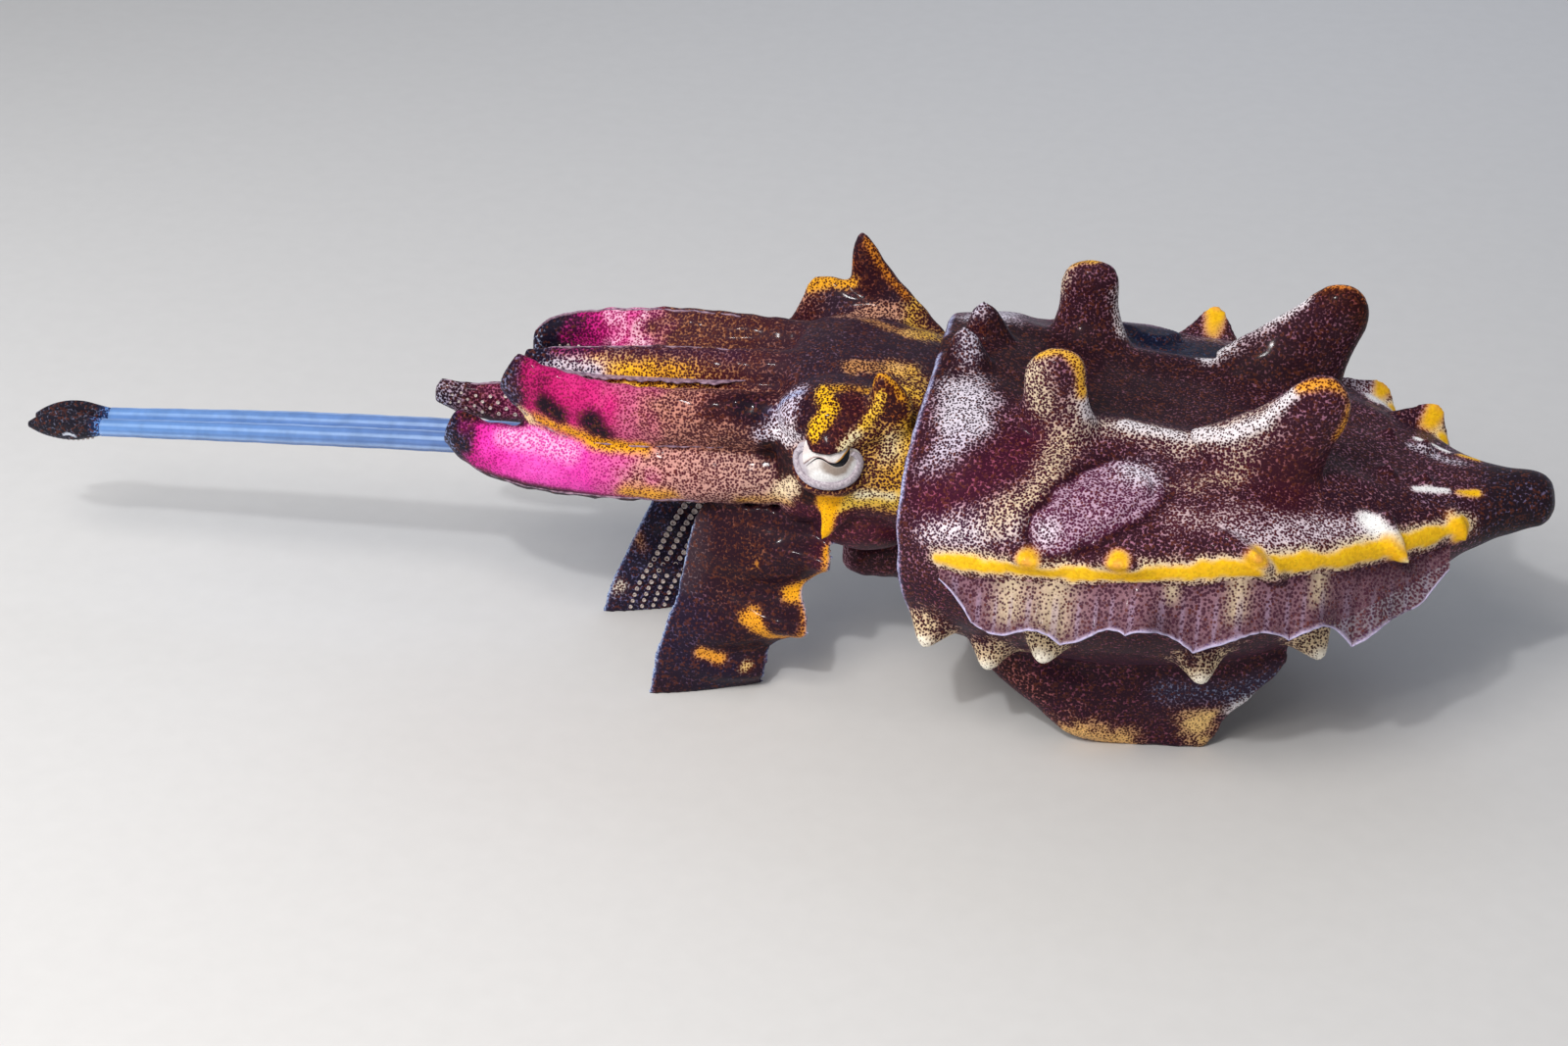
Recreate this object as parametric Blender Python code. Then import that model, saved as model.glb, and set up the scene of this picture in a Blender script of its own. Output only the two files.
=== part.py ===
"""A flamboyant cuttlefish walking on the floor, with its feeding tentacles shot out, at life size.

Lengths are in millimetres in the animal's own frame: x = 0 at the mantle's front edge, +X towards the
tail, -Y on its left side and z = 0 on the floor. place() turns them to metres about the model's origin.
"""

import math
from typing import NamedTuple

import bmesh
import bpy
import numpy as np
from mathutils import Vector

MM = 0.001
GAP = 0.3
FULL_TURN = 2 * math.pi
SIDES = (("left", -1), ("right", 1))
BALL_TURN = Vector((0, 0, 1)).rotation_difference(Vector((0, 1, 0))).to_matrix()

# Overall places along the body.
CLUB_TIP_X = -97.4
TAIL_TIP_X = 59.2
ORIGIN_X = (CLUB_TIP_X + TAIL_TIP_X) / 2
CROWN_X = -14.0
NECK_END_X = 2.9
TAIL_CUT_X = 50.0

# The mantle's outline: stations along x, and what it measures at each.
MANTLE_X = (-2.0, 4.0, 11.0, 22.0, 33.4, 40.0, 46.0, 52.0, 56.0, TAIL_TIP_X)
MANTLE_HALF_WIDTH = (18.6, 20.9, 22.5, 23.0, 20.2, 16.3, 11.4, 6.1, 2.9, 0.5)
MANTLE_TOP = (35.3, 35.0, 33.2, 31.2, 30.3, 28.5, 26.4, 25.1, 24.9, 25.2)
MANTLE_SIDE = (21.8, 23.0, 23.9, 25.3, 25.6, 24.8, 23.8, 23.2, 23.9, 24.9)
MANTLE_BELLY = (7.6, 7.2, 6.4, 6.2, 8.4, 11.8, 15.6, 19.4, 22.1, 24.4)
MANTLE_AROUND = 36
MANTLE_POWER = 0.92
MANTLE_LAST_RING_X = 58.6
MANTLE_CORE_Z = 22.0
RIM_WALL = 1.5
RIM_FADE = 9.0
RIM_CREST_PULL = 1.3
RIM_SIDE_PULL = 1.4
RIM_BELLY_PUSH = 3.4
RIDGE_Y = 7.8
RIDGE_RISE = 0.9
RIDGE_HALF = 2.4
RIDGE_START_X = 2.0
RIDGE_LENGTH = 44.0


class Papilla(NamedTuple):
    """A soft cone: its sections from the foot up (x, y, z, half length, half thickness), and its tip."""

    sections: tuple
    tip: tuple


FRONT_PAPILLA = Papilla(
    (
        (12.3, 9.4, 30.6, 4.1, 2.9),
        (12.3, 9.8, 33.4, 3.0, 2.2),
        (12.2, 10.0, 36.2, 2.5, 1.9),
        (12.2, 10.1, 38.6, 2.2, 1.7),
        (12.3, 10.2, 39.9, 1.4, 1.1),
    ),
    (12.4, 10.2, 40.5),
)
REAR_PAPILLA = Papilla(
    (
        (32.3, 9.0, 29.4, 5.6, 3.0),
        (33.6, 9.6, 32.6, 4.4, 2.4),
        (35.3, 9.9, 35.0, 3.7, 2.1),
        (36.7, 10.0, 37.2, 3.1, 1.9),
        (37.5, 10.1, 38.8, 2.3, 1.5),
        (38.0, 10.1, 39.6, 1.2, 0.9),
    ),
    (38.2, 10.1, 39.9),
)
NAPE_PAPILLA = Papilla(
    ((2.6, 3.1, 33.6, 2.0, 1.5), (2.5, 3.1, 35.8, 1.5, 1.2), (2.4, 3.1, 37.6, 1.2, 1.0)),
    (2.4, 3.1, 38.6),
)
SIDE_SHIFT = 0.55

# Small papillae: station, angle above the side and height along each stripe, then station and angle on the
# belly, then station, distance from the midline and height on the back near the tail.
STRIPE_PAPILLAE = {
    -1: ((11.2, 6, 1.4), (19.4, 7, 1.6), (31.4, 9, 1.7), (45.0, 24, 2.0), (48.6, 38, 1.4)),
    1: ((12.0, 6, 1.4), (24.4, 8, 2.8), (33.6, 11, 1.3), (41.4, 18, 1.5), (46.4, 28, 2.4)),
}
STRIPE_PAPILLA_HALF = (1.7, 0.9)
BELLY_PAPILLAE = ((1.2, -33.0), (7.4, -43.0), (13.0, -27.0), (27.2, -38.0), (37.2, -42.0))
BELLY_PAPILLA_HALF = (1.8, 1.5)
BELLY_PAPILLA_HEIGHT = 2.5
BACK_PAPILLAE = ((43.0, 3.4, 1.0), (46.6, 3.0, 1.1))
BACK_PAPILLA_HALF = (0.9, 0.8)
SMALL_PAPILLA_SHAPE = ((-0.35, 1.05), (0.25, 0.85), (0.72, 0.5))

# Head: stations along x from the arm crown back to the neck.
HEAD_X = (CROWN_X, -11.5, -8.0, -4.0, 0.0, NECK_END_X)
HEAD_HALF_WIDTH = (10.9, 12.0, 12.8, 12.4, 12.0, 12.0)
HEAD_TOP = (34.8, 35.0, 34.9, 34.2, 33.2, 32.8)
HEAD_SIDE = (26.0, 26.2, 26.2, 25.6, 24.6, 24.2)
HEAD_BELLY = (15.4, 16.2, 16.9, 17.0, 16.6, 16.6)
HEAD_AROUND = 28
HEAD_POWER = 0.86
HEAD_CORE_Z = 25.0

EYE = (-9.5, 11.2, 28.0)
EYE_RADIUS = 3.5
LID_RADIUS = 4.65
LID_STRETCH = (1.06, 0.94)
LID_SECTIONS = ((0.2, 1.0), (1.25, 1.0), (1.75, 0.86))

NEAR_BROW = Papilla(
    (
        (-5.6, -10.0, 30.2, 2.7, 1.5),
        (-5.1, -10.5, 32.4, 2.0, 1.2),
        (-4.7, -10.8, 34.6, 1.75, 1.0),
        (-4.5, -10.9, 36.1, 1.2, 0.8),
    ),
    (-4.4, -11.0, 36.8),
)
FAR_BROW = Papilla(
    (
        (-7.6, 9.2, 31.4, 4.7, 1.9),
        (-8.6, 9.8, 34.4, 3.4, 1.6),
        (-9.4, 10.0, 37.4, 2.3, 1.3),
        (-10.0, 10.0, 39.8, 1.4, 1.0),
        (-10.3, 10.0, 41.2, 0.8, 0.6),
    ),
    (-10.4, 10.0, 41.9),
)
SNOUT_BUMP = Papilla(
    ((-10.8, 9.0, 31.0, 2.6, 2.0), (-11.8, 9.4, 33.8, 2.5, 1.8), (-13.8, 9.6, 35.3, 1.8, 1.4)),
    (-15.6, 9.7, 36.1),
)
CHEEK_SPIKE = Papilla(
    ((-8.0, 9.8, 24.6, 3.4, 1.6), (-8.8, 11.3, 22.4, 2.4, 1.2), (-9.7, 12.1, 20.6, 1.2, 0.8)),
    (-10.2, 12.4, 18.9),
)

# Funnel: from the neck forwards to its open mouth.
FUNNEL_MOUTH_X = -9.6
FUNNEL_Z = (12.9, 12.3, 11.4)
FUNNEL_RADIUS = (3.2, 3.1, 2.7)
FUNNEL_WALL = 0.7
FUNNEL_DEPTH = 2.2
FUNNEL_STRETCH = 1.15

# Walking flaps under the mantle, level by level up from the floor.
FLAP_LEVELS = (0.0, 3.4, 6.9, 10.0, 13.0)
FLAP_FRONT_X = (15.8, 11.9, 6.6, 4.6, 4.0)
FLAP_REAR_X = (28.4, 30.0, 33.0, 35.4, 36.0)
FLAP_Y = (13.0, 13.6, 13.6, 12.6, 11.6)
FLAP_HALF_THICKNESS = (1.1, 1.4, 1.9, 2.2, 2.2)

# Fins along the sides: stations along x and how far each edge hangs down and out from the stripe.
FIN_X = (2.6, 8.7, 12.3, 16.5, 21.4, 24.7, 29.6, 34.0, 37.9, 42.1, 46.4, 49.6)
FIN_DROP = (1.6, 6.2, 5.0, 6.0, 4.4, 6.4, 6.9, 5.9, 6.0, 7.2, 5.2, 2.2)
FIN_REACH = (0.9, 2.2, 3.3, 2.4, 3.2, 2.2, 2.4, 3.0, 2.6, 3.2, 3.2, 2.6)
FIN_SECTIONS = 34
FIN_GAP = 0.4
FIN_BELOW_STRIPE = 0.8
FIN_ROOT_THICKNESS = 1.1
FIN_EDGE_THICKNESS = 0.55
FIN_MIDDLE = (0.66, 0.42)
FIN_EDGE_SHARE = 0.93

# Feeding tentacles: stalks and clubs.
TENTACLE_PATH = (
    (CROWN_X - GAP, 1.6, 20.4),
    (-32.0, 1.5, 20.3),
    (-50.0, 1.4, 19.8),
    (-68.0, 1.4, 18.9),
    (-88.6, 1.25, 17.5),
)
TENTACLE_RADIUS = (1.2, 1.15, 1.1, 1.08, 0.95)
TENTACLE_LENGTHS = (("a", 0, 2), ("b", 2, 4))
CLUB_STATIONS = (0.0, 0.12, 0.35, 0.62, 0.85, 1.0)
CLUB_HALF_HEIGHT = (0.9, 1.15, 1.55, 1.45, 0.9, 0.25)
CLUB_HALF_THICKNESS = (0.85, 0.85, 0.9, 0.8, 0.55, 0.2)
CLUB_Y = 1.1
CLUB_TIP_Z = 16.9
CLUB_SUCKERS = ((2, 0.38), (3, 0.46), (4, 0.5), (5, 0.4), (6, 0.32), (7, 0.24))


class Limb(NamedTuple):
    """One arm: the points of its middle line, its half sizes there and which way its suckers face."""

    path: tuple
    half_width: tuple
    half_height: tuple
    oral: tuple


ARMS = {
    "arm_1_left": Limb(
        (
            (-14.3, -3.1, 32.2),
            (-20.0, -3.2, 31.6),
            (-29.0, -3.1, 30.8),
            (-36.0, -2.8, 30.2),
            (-40.0, -2.5, 30.0),
            (-41.8, -2.3, 29.4),
        ),
        (2.2, 2.3, 2.2, 2.0, 1.5, 0.7),
        (2.1, 2.2, 2.2, 2.1, 1.6, 0.7),
        (0.0, 0.25, -1.0),
    ),
    "arm_1_right": Limb(
        (
            (-14.3, 3.1, 32.2),
            (-22.0, 3.1, 32.2),
            (-31.0, 3.1, 32.0),
            (-38.0, 3.0, 31.7),
            (-41.2, 2.2, 31.6),
            (-40.4, 0.9, 32.3),
            (-37.8, 0.5, 32.6),
        ),
        (2.2, 2.3, 2.3, 2.2, 1.4, 0.8, 0.35),
        (2.1, 2.3, 2.4, 2.3, 1.7, 0.9, 0.35),
        (0.0, -0.25, -1.0),
    ),
    "arm_2_left": Limb(
        (
            (-14.3, -7.9, 29.1),
            (-22.0, -8.2, 28.9),
            (-31.0, -7.9, 28.6),
            (-38.0, -6.8, 28.5),
            (-42.2, -5.6, 29.0),
            (-43.4, -4.9, 30.6),
        ),
        (2.4, 2.4, 2.3, 2.1, 1.7, 0.8),
        (2.9, 2.9, 2.8, 2.9, 2.5, 0.9),
        (0.0, 1.0, 0.1),
    ),
    "arm_2_right": Limb(
        (
            (-14.3, 7.9, 29.1),
            (-22.0, 8.2, 28.8),
            (-30.0, 7.8, 28.2),
            (-36.0, 6.6, 27.6),
            (-40.0, 5.4, 27.2),
            (-41.8, 4.7, 27.6),
        ),
        (2.4, 2.4, 2.3, 2.0, 1.5, 0.7),
        (2.9, 2.9, 2.7, 2.4, 1.9, 0.7),
        (0.0, -1.0, 0.1),
    ),
    "arm_3_left": Limb(
        (
            (-14.3, -8.0, 23.0),
            (-23.0, -8.6, 22.9),
            (-33.0, -8.1, 22.3),
            (-41.0, -6.9, 21.9),
            (-47.0, -5.4, 22.2),
            (-49.8, -4.4, 23.6),
        ),
        (2.3, 2.4, 2.4, 2.2, 1.8, 0.8),
        (2.55, 2.6, 2.7, 2.8, 2.4, 0.9),
        (0.0, 1.0, 0.25),
    ),
    "arm_3_right": Limb(
        (
            (-14.3, 8.0, 23.0),
            (-24.0, 8.4, 22.8),
            (-34.0, 7.6, 22.2),
            (-43.0, 5.4, 21.8),
            (-50.0, 4.4, 21.8),
            (-53.6, 4.0, 22.8),
        ),
        (2.3, 2.4, 2.4, 2.0, 1.6, 0.8),
        (2.55, 2.7, 2.7, 2.7, 2.2, 0.9),
        (0.0, -1.0, 0.25),
    ),
}
ARM_RINGS = 16
ARM_SIDES = 12
ARM_TIP_SHARE = 0.25
SUCKERS_PER_ROW = 8
SUCKER_SIDES = 5
SUCKER_SPAN = (0.07, 0.97)
SUCKER_SIZE = 0.28
ROW_ANGLE = 0.42

# The legs are the fourth arms: the height of each level, with the blade's front and rear edges there.
NEAR_LEG_LEVELS = (0.0, 3.0, 5.9, 8.4, 11.2, 14.2, 17.0, 19.2)
NEAR_LEG_FRONT = (
    (-27.6, -13.9),
    (-27.4, -13.4),
    (-26.6, -12.4),
    (-25.8, -11.2),
    (-25.3, -9.9),
    (-24.9, -8.8),
    (-24.0, -8.0),
    (-22.0, -7.4),
)
NEAR_LEG_REAR = (
    (-16.2, -9.4),
    (-15.0, -10.2),
    (-13.0, -11.0),
    (-11.3, -11.0),
    (-12.0, -10.4),
    (-9.8, -10.0),
    (-14.2, -8.6),
    (-15.6, -7.8),
)
FAR_LEG_LEVELS = (0.0, 3.0, 6.0, 9.0, 12.0, 15.0, 19.2)
FAR_LEG_FRONT = (
    (-36.0, 0.6),
    (-35.2, 2.0),
    (-33.9, 3.4),
    (-32.6, 4.8),
    (-31.0, 6.0),
    (-28.4, 7.0),
    (-23.0, 7.4),
)
FAR_LEG_REAR = (
    (-26.6, 3.8),
    (-25.4, 5.0),
    (-22.8, 6.2),
    (-21.2, 7.4),
    (-18.6, 8.2),
    (-16.0, 8.4),
    (-15.8, 7.8),
)
LEG_HALF_THICKNESS = (0.9, 1.1, 1.3, 1.4, 1.5, 1.5, 1.3, 0.8)
LEG_SECTIONS = 11
BLADE_AROUND = 20
LEG_ROOT = (CROWN_X - GAP, 4.6, 18.0)
LEG_ROOT_RADIUS = 2.0
LEG_STALK = ((0.0, 1.0), (0.35, 0.95), (0.7, 0.85), (1.0, 0.6))
LEG_STALK_SIDES = 12
LEG_STALK_SAG = 0.44
LEG_STALK_DEPTH = 3.4
LEG_SUCKER_RADII = (0.4, 0.6)

COLOURS = {
    "mantle": (0.13, 0.05, 0.07),
    "head": (0.62, 0.40, 0.06),
    "arm": (0.72, 0.12, 0.30),
    "leg": (0.10, 0.04, 0.05),
    "fin": (0.35, 0.30, 0.42),
    "eye": (0.85, 0.84, 0.80),
    "funnel": (0.16, 0.08, 0.05),
    "tentacle": (0.45, 0.52, 0.66),
    "club": (0.12, 0.11, 0.14),
}
WET_ROUGHNESS = 0.2
SKIN_ROUGHNESS = 0.45


def place(point) -> Vector:
    """Turns a place in the animal's frame to metres about the model's origin."""
    return Vector((point[0] - ORIGIN_X, point[1], point[2])) * MM


def unit(vector) -> np.ndarray:
    """Returns the vector at length one."""
    vector = np.asarray(vector, float)
    return vector / np.linalg.norm(vector)


def turns(count: int) -> np.ndarray:
    """Returns the angles of count even steps of a full turn."""
    return np.arange(count) * FULL_TURN / count


def hermite(knots, values, at) -> np.ndarray:
    """Returns the values at the places at, on a smooth cubic curve through the knots."""
    knots, values, at = (np.asarray(a, float) for a in (knots, values, at))
    tangents = np.gradient(values, knots, axis=0)
    index = np.clip(np.searchsorted(knots, at, side="right") - 1, 0, len(knots) - 2)
    width = knots[index + 1] - knots[index]
    t = (at - knots[index]) / width
    if values.ndim > 1:
        t = t[:, None]
        width = width[:, None]
    return (
        values[index] * (1 + 2 * t) * (1 - t) ** 2
        + values[index + 1] * t**2 * (3 - 2 * t)
        + tangents[index] * width * t * (1 - t) ** 2
        - tangents[index + 1] * width * t**2 * (1 - t)
    )


def profile(knots, values, x: float) -> float:
    """Returns one measure of an outline at the station x."""
    return float(hermite(knots, values, [x])[0])


def smooth_curve(keys, count: int) -> np.ndarray:
    """Returns count points, evenly spaced, on a smooth curve through the keys."""
    keys = np.asarray(keys, float)
    steps = np.linalg.norm(np.diff(keys, axis=0), axis=1) if keys.ndim > 1 else np.ones(len(keys) - 1)
    knots = np.concatenate([[0.0], np.cumsum(steps)])
    return hermite(knots, keys, np.linspace(0.0, knots[-1], count))


def new_object(name: str, bm: bmesh.types.BMesh) -> bpy.types.Object:
    """Turns a bmesh into an object of the scene."""
    mesh = bpy.data.meshes.new(name)
    bm.to_mesh(mesh)
    bm.free()
    obj = bpy.data.objects.new(name, mesh)
    bpy.context.scene.collection.objects.link(obj)
    return obj


def lofted(name: str, rings, start, end) -> bpy.types.Object:
    """Shapes a UV sphere's parallels into the rings, and its poles into the start and end points."""
    around = len(rings[0])
    along = len(rings) + 1
    bm = bmesh.new()
    bmesh.ops.create_uvsphere(bm, u_segments=around, v_segments=along, radius=1.0)
    for vertex in bm.verts:
        level = round(math.acos(max(-1.0, min(1.0, vertex.co.z))) / math.pi * along)
        if level == 0:
            vertex.co = place(end)
        elif level == along:
            vertex.co = place(start)
        else:
            turn = math.atan2(vertex.co.y, vertex.co.x) - math.pi / 2
            spoke = round(turn / FULL_TURN * around) % around
            vertex.co = place(rings[along - level - 1][spoke])
    bmesh.ops.recalc_face_normals(bm, faces=bm.faces)
    if bm.calc_volume(signed=True) < 0:
        bmesh.ops.reverse_faces(bm, faces=bm.faces)
    return new_object(name, bm)


def capped(name: str, rings) -> bpy.types.Object:
    """Lofts the rings with a flat face at each end."""
    return lofted(name, rings, np.mean(rings[0], axis=0), np.mean(rings[-1], axis=0))


def combine(body: bpy.types.Object, pieces: list, operation: str) -> bpy.types.Object:
    """Applies one Boolean of all the pieces to the body, and keeps its largest closed surface."""
    tools = bpy.data.collections.new(body.name + "_tools")
    bpy.context.scene.collection.children.link(tools)
    for piece in pieces:
        tools.objects.link(piece)
    modifier = body.modifiers.new("combine", "BOOLEAN")
    modifier.operation = operation
    modifier.operand_type = "COLLECTION"
    modifier.collection = tools
    modifier.solver = "EXACT"
    graph = bpy.context.evaluated_depsgraph_get()
    body.data = bpy.data.meshes.new_from_object(body.evaluated_get(graph))
    body.modifiers.remove(modifier)
    for piece in pieces:
        bpy.data.objects.remove(piece)
    bpy.data.collections.remove(tools)
    keep_largest(body.data)
    return body


def connected(face: bmesh.types.BMFace, left: set) -> set:
    """Takes out of left, and returns, all faces joined to this one by edges."""
    group = {face}
    edge_of_group = [face]
    while edge_of_group:
        for edge in edge_of_group.pop().edges:
            for other in edge.link_faces:
                if other in left:
                    left.remove(other)
                    group.add(other)
                    edge_of_group.append(other)
    return group


def keep_largest(mesh: bpy.types.Mesh) -> None:
    """Deletes all but the mesh's largest connected surface, and splits its faces to triangles."""
    bm = bmesh.new()
    bm.from_mesh(mesh)
    left = set(bm.faces)
    groups = []
    while left:
        groups.append(connected(left.pop(), left))
    largest = max(groups, key=lambda faces: sum(face.calc_area() for face in faces))
    bmesh.ops.delete(bm, geom=[face for face in bm.faces if face not in largest], context="FACES")
    bmesh.ops.triangulate(bm, faces=bm.faces)
    bm.to_mesh(mesh)
    bm.free()


def oval_ring(x, half_width, top, side, belly, around: int, power: float = 1.0) -> list:
    """Returns one cross-section across x, widest at the height side, as a list of points."""
    ring = []
    for angle in turns(around):
        c = math.cos(angle)
        s = math.sin(angle)
        reach = top - side if s > 0 else side - belly
        y = half_width * math.copysign(abs(c) ** power, c)
        ring.append([x, y, side + reach * math.copysign(abs(s) ** power, s)])
    return ring


def mantle_ring(x: float, around: int = MANTLE_AROUND, grow: float = 0.0) -> list:
    """Returns the mantle's section at station x, grown outwards, with its rim bent at the front edge."""
    width = profile(MANTLE_X, MANTLE_HALF_WIDTH, x) + grow
    top = profile(MANTLE_X, MANTLE_TOP, x)
    side = profile(MANTLE_X, MANTLE_SIDE, x)
    belly = profile(MANTLE_X, MANTLE_BELLY, x)
    ring = oval_ring(x, width, top + grow, side, belly - grow, around, MANTLE_POWER)
    fade = max(0.0, 1.0 - (x - MANTLE_X[0]) / RIM_FADE) ** 2
    ridge = RIDGE_RISE * math.sin(math.pi * min(1.0, max(0.0, (x - RIDGE_START_X) / RIDGE_LENGTH)))
    for point in ring:
        up = (point[2] - side) / (top - side if point[2] > side else side - belly)
        if up > 0:
            point[2] += ridge * math.exp(-(((abs(point[1]) - RIDGE_Y) / RIDGE_HALF) ** 2))
            point[0] += fade * (RIM_CREST_PULL * up**2 - RIM_SIDE_PULL * up * (1 - up))
        else:
            point[0] += fade * RIM_BELLY_PUSH * up**2
    return ring


def mantle_surface(x: float, degrees: float) -> np.ndarray:
    """Returns the point of the mantle's surface at station x and an angle up from its right side."""
    return np.array(mantle_ring(x, 360)[round(degrees) % 360])


def sideways(centre, lean, along: float, across: float) -> np.ndarray:
    """Returns the centre moved along the body and across it, square to the direction lean."""
    lean = unit(lean)
    first = np.cross(lean, (0.0, 1.0, 0.0))
    if np.linalg.norm(first) < GAP:
        first = np.cross(lean, (0.0, 0.0, 1.0))
    first = unit(first)
    return centre + first * along + np.cross(lean, first) * across


def make_papilla(shape: Papilla, sides: int = 8) -> bpy.types.Object:
    """Makes one soft, flattened cone with a rounded tip, its foot sunk in what it grows from."""
    foot = np.array(shape.sections[0][:3])
    lean = np.array(shape.tip) - foot
    rings = []
    for x, y, z, half_length, half_thickness in shape.sections:
        centre = np.array((x, y, z))
        ring = [
            sideways(centre, lean, half_length * math.cos(a), half_thickness * math.sin(a))
            for a in turns(sides)
        ]
        rings.append(ring)
    return lofted("papilla", rings, foot - lean * 0.05, shape.tip)


def mirrored(shape: Papilla, side: int, shift: float = 0.0) -> Papilla:
    """Returns a papilla on the left (-1) or the right (1), moved along x by the shift."""
    sections = [(x + shift * side, y * side, z, a, b) for x, y, z, a, b in shape.sections]
    return Papilla(sections, (shape.tip[0] + shift * side, shape.tip[1] * side, shape.tip[2]))


def skin_papilla(x: float, degrees: float, side: int, half: tuple, height: float) -> bpy.types.Object:
    """Makes one small papilla square to the mantle's surface."""
    root = mantle_surface(x, degrees)
    across = mantle_surface(x, degrees + 4) - mantle_surface(x, degrees - 4)
    along = mantle_surface(x + 1, degrees) - root
    normal = unit(np.cross(across, along))
    if normal[1] * root[1] + normal[2] * (root[2] - MANTLE_CORE_Z) < 0:
        normal = -normal
    flip = np.array((1, side, 1))
    root = root * flip
    rise = normal * flip * height
    sections = []
    for share, size in SMALL_PAPILLA_SHAPE:
        x, y, z = root + rise * share
        sections.append((x, y, z, half[0] * size, half[1] * size))
    return make_papilla(Papilla(sections, tuple(root + rise)), 6)


def make_mantle() -> bpy.types.Object:
    """Makes the mantle: a broad body, open at the front around the neck, with its papillae."""
    front = MANTLE_X[0]
    recess = [[NECK_END_X + GAP, y, z] for _, y, z in mantle_ring(front, grow=-RIM_WALL)]
    lip = mantle_ring(front + 0.2, grow=-0.9 * RIM_WALL)
    edge = mantle_ring(front, grow=-0.4 * RIM_WALL)
    share = np.linspace(0.0, 1.0, 19)
    stations = front + 0.5 + (TAIL_CUT_X - front - 0.5) * (0.75 * share + 0.25 * share**2)
    rings = [recess, lip, edge] + [mantle_ring(x) for x in stations]
    body = lofted("mantle", rings, (NECK_END_X + GAP, 0, MANTLE_CORE_Z), np.mean(rings[-1], axis=0))
    pieces = []
    for side in (-1, 1):
        for shape in (FRONT_PAPILLA, REAR_PAPILLA, NAPE_PAPILLA):
            pieces.append(make_papilla(mirrored(shape, side, SIDE_SHIFT)))
        for x, degrees, height in STRIPE_PAPILLAE[side]:
            pieces.append(skin_papilla(x, degrees, side, STRIPE_PAPILLA_HALF, height))
        for x, degrees in BELLY_PAPILLAE:
            pieces.append(skin_papilla(x, degrees, side, BELLY_PAPILLA_HALF, BELLY_PAPILLA_HEIGHT))
        for x, y, height in BACK_PAPILLAE:
            degrees = math.degrees(math.acos(y / profile(MANTLE_X, MANTLE_HALF_WIDTH, x)))
            pieces.append(skin_papilla(x, degrees, side, BACK_PAPILLA_HALF, height))
    return combine(body, pieces, "UNION")


def make_tail() -> bpy.types.Object:
    """Makes the tail's pointed, flattened end."""
    rings = [mantle_ring(x) for x in np.linspace(TAIL_CUT_X + GAP, MANTLE_LAST_RING_X, 5)]
    return lofted("tail_tip", rings, np.mean(rings[0], axis=0), (TAIL_TIP_X, 0, MANTLE_TOP[-1]))


def make_head() -> bpy.types.Object:
    """Makes the head, with its brows, cheek spikes and lids, hollowed for the eyes."""
    rings = []
    for x in np.linspace(CROWN_X, NECK_END_X, 11):
        sizes = [profile(HEAD_X, values, x) for values in (HEAD_HALF_WIDTH, HEAD_TOP, HEAD_SIDE, HEAD_BELLY)]
        rings.append(oval_ring(x, *sizes, HEAD_AROUND, HEAD_POWER))
    body = lofted("head", rings, (CROWN_X, 0, HEAD_CORE_Z), (NECK_END_X, 0, HEAD_CORE_Z))
    pieces = [make_papilla(shape) for shape in (NEAR_BROW, FAR_BROW, SNOUT_BUMP)]
    for side in (-1, 1):
        pieces.append(make_papilla(mirrored(CHEEK_SPIKE, side)))
        pieces.append(make_lid(side))
    combine(body, pieces, "UNION")
    return combine(body, [ball("socket", EYE_RADIUS + GAP, side) for side in (-1, 1)], "DIFFERENCE")


def make_lid(side: int) -> bpy.types.Object:
    """Makes the raised ring of skin round one eye, as a short closed drum that the socket is cut from."""
    rings = []
    for out, share in LID_SECTIONS:
        long_radius = LID_RADIUS * LID_STRETCH[0] * share
        high_radius = LID_RADIUS * LID_STRETCH[1] * share
        ring = [
            (EYE[0] + long_radius * math.cos(a), side * (EYE[1] + out), EYE[2] + high_radius * math.sin(a))
            for a in turns(20)
        ]
        rings.append(ring)
    return capped("lid", rings)


def ball(name: str, radius: float, side: int) -> bpy.types.Object:
    """Makes a ball at the eye's place on the left or right side."""
    bm = bmesh.new()
    bmesh.ops.create_uvsphere(bm, u_segments=16, v_segments=10, radius=radius * MM)
    bmesh.ops.rotate(bm, verts=bm.verts, matrix=BALL_TURN)
    bmesh.ops.translate(bm, verts=bm.verts, vec=place((EYE[0], side * EYE[1], EYE[2])))
    return new_object(name, bm)


def make_funnel() -> bpy.types.Object:
    """Makes the funnel under the head, open at its front end."""
    radii = smooth_curve(FUNNEL_RADIUS, 6)
    heights = smooth_curve(FUNNEL_Z, 6)
    mouth = FUNNEL_RADIUS[-1] - FUNNEL_WALL
    z = FUNNEL_Z[-1]
    stations = list(zip(np.linspace(NECK_END_X, FUNNEL_MOUTH_X, 6), radii, heights))
    stations.append((FUNNEL_MOUTH_X, mouth, z))
    stations.append((FUNNEL_MOUTH_X + FUNNEL_DEPTH, mouth * 0.86, z))
    rings = [oval_ring(x, r * FUNNEL_STRETCH, z + r, z, z - r, 16) for x, r, z in stations]
    return capped("funnel", rings)


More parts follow.
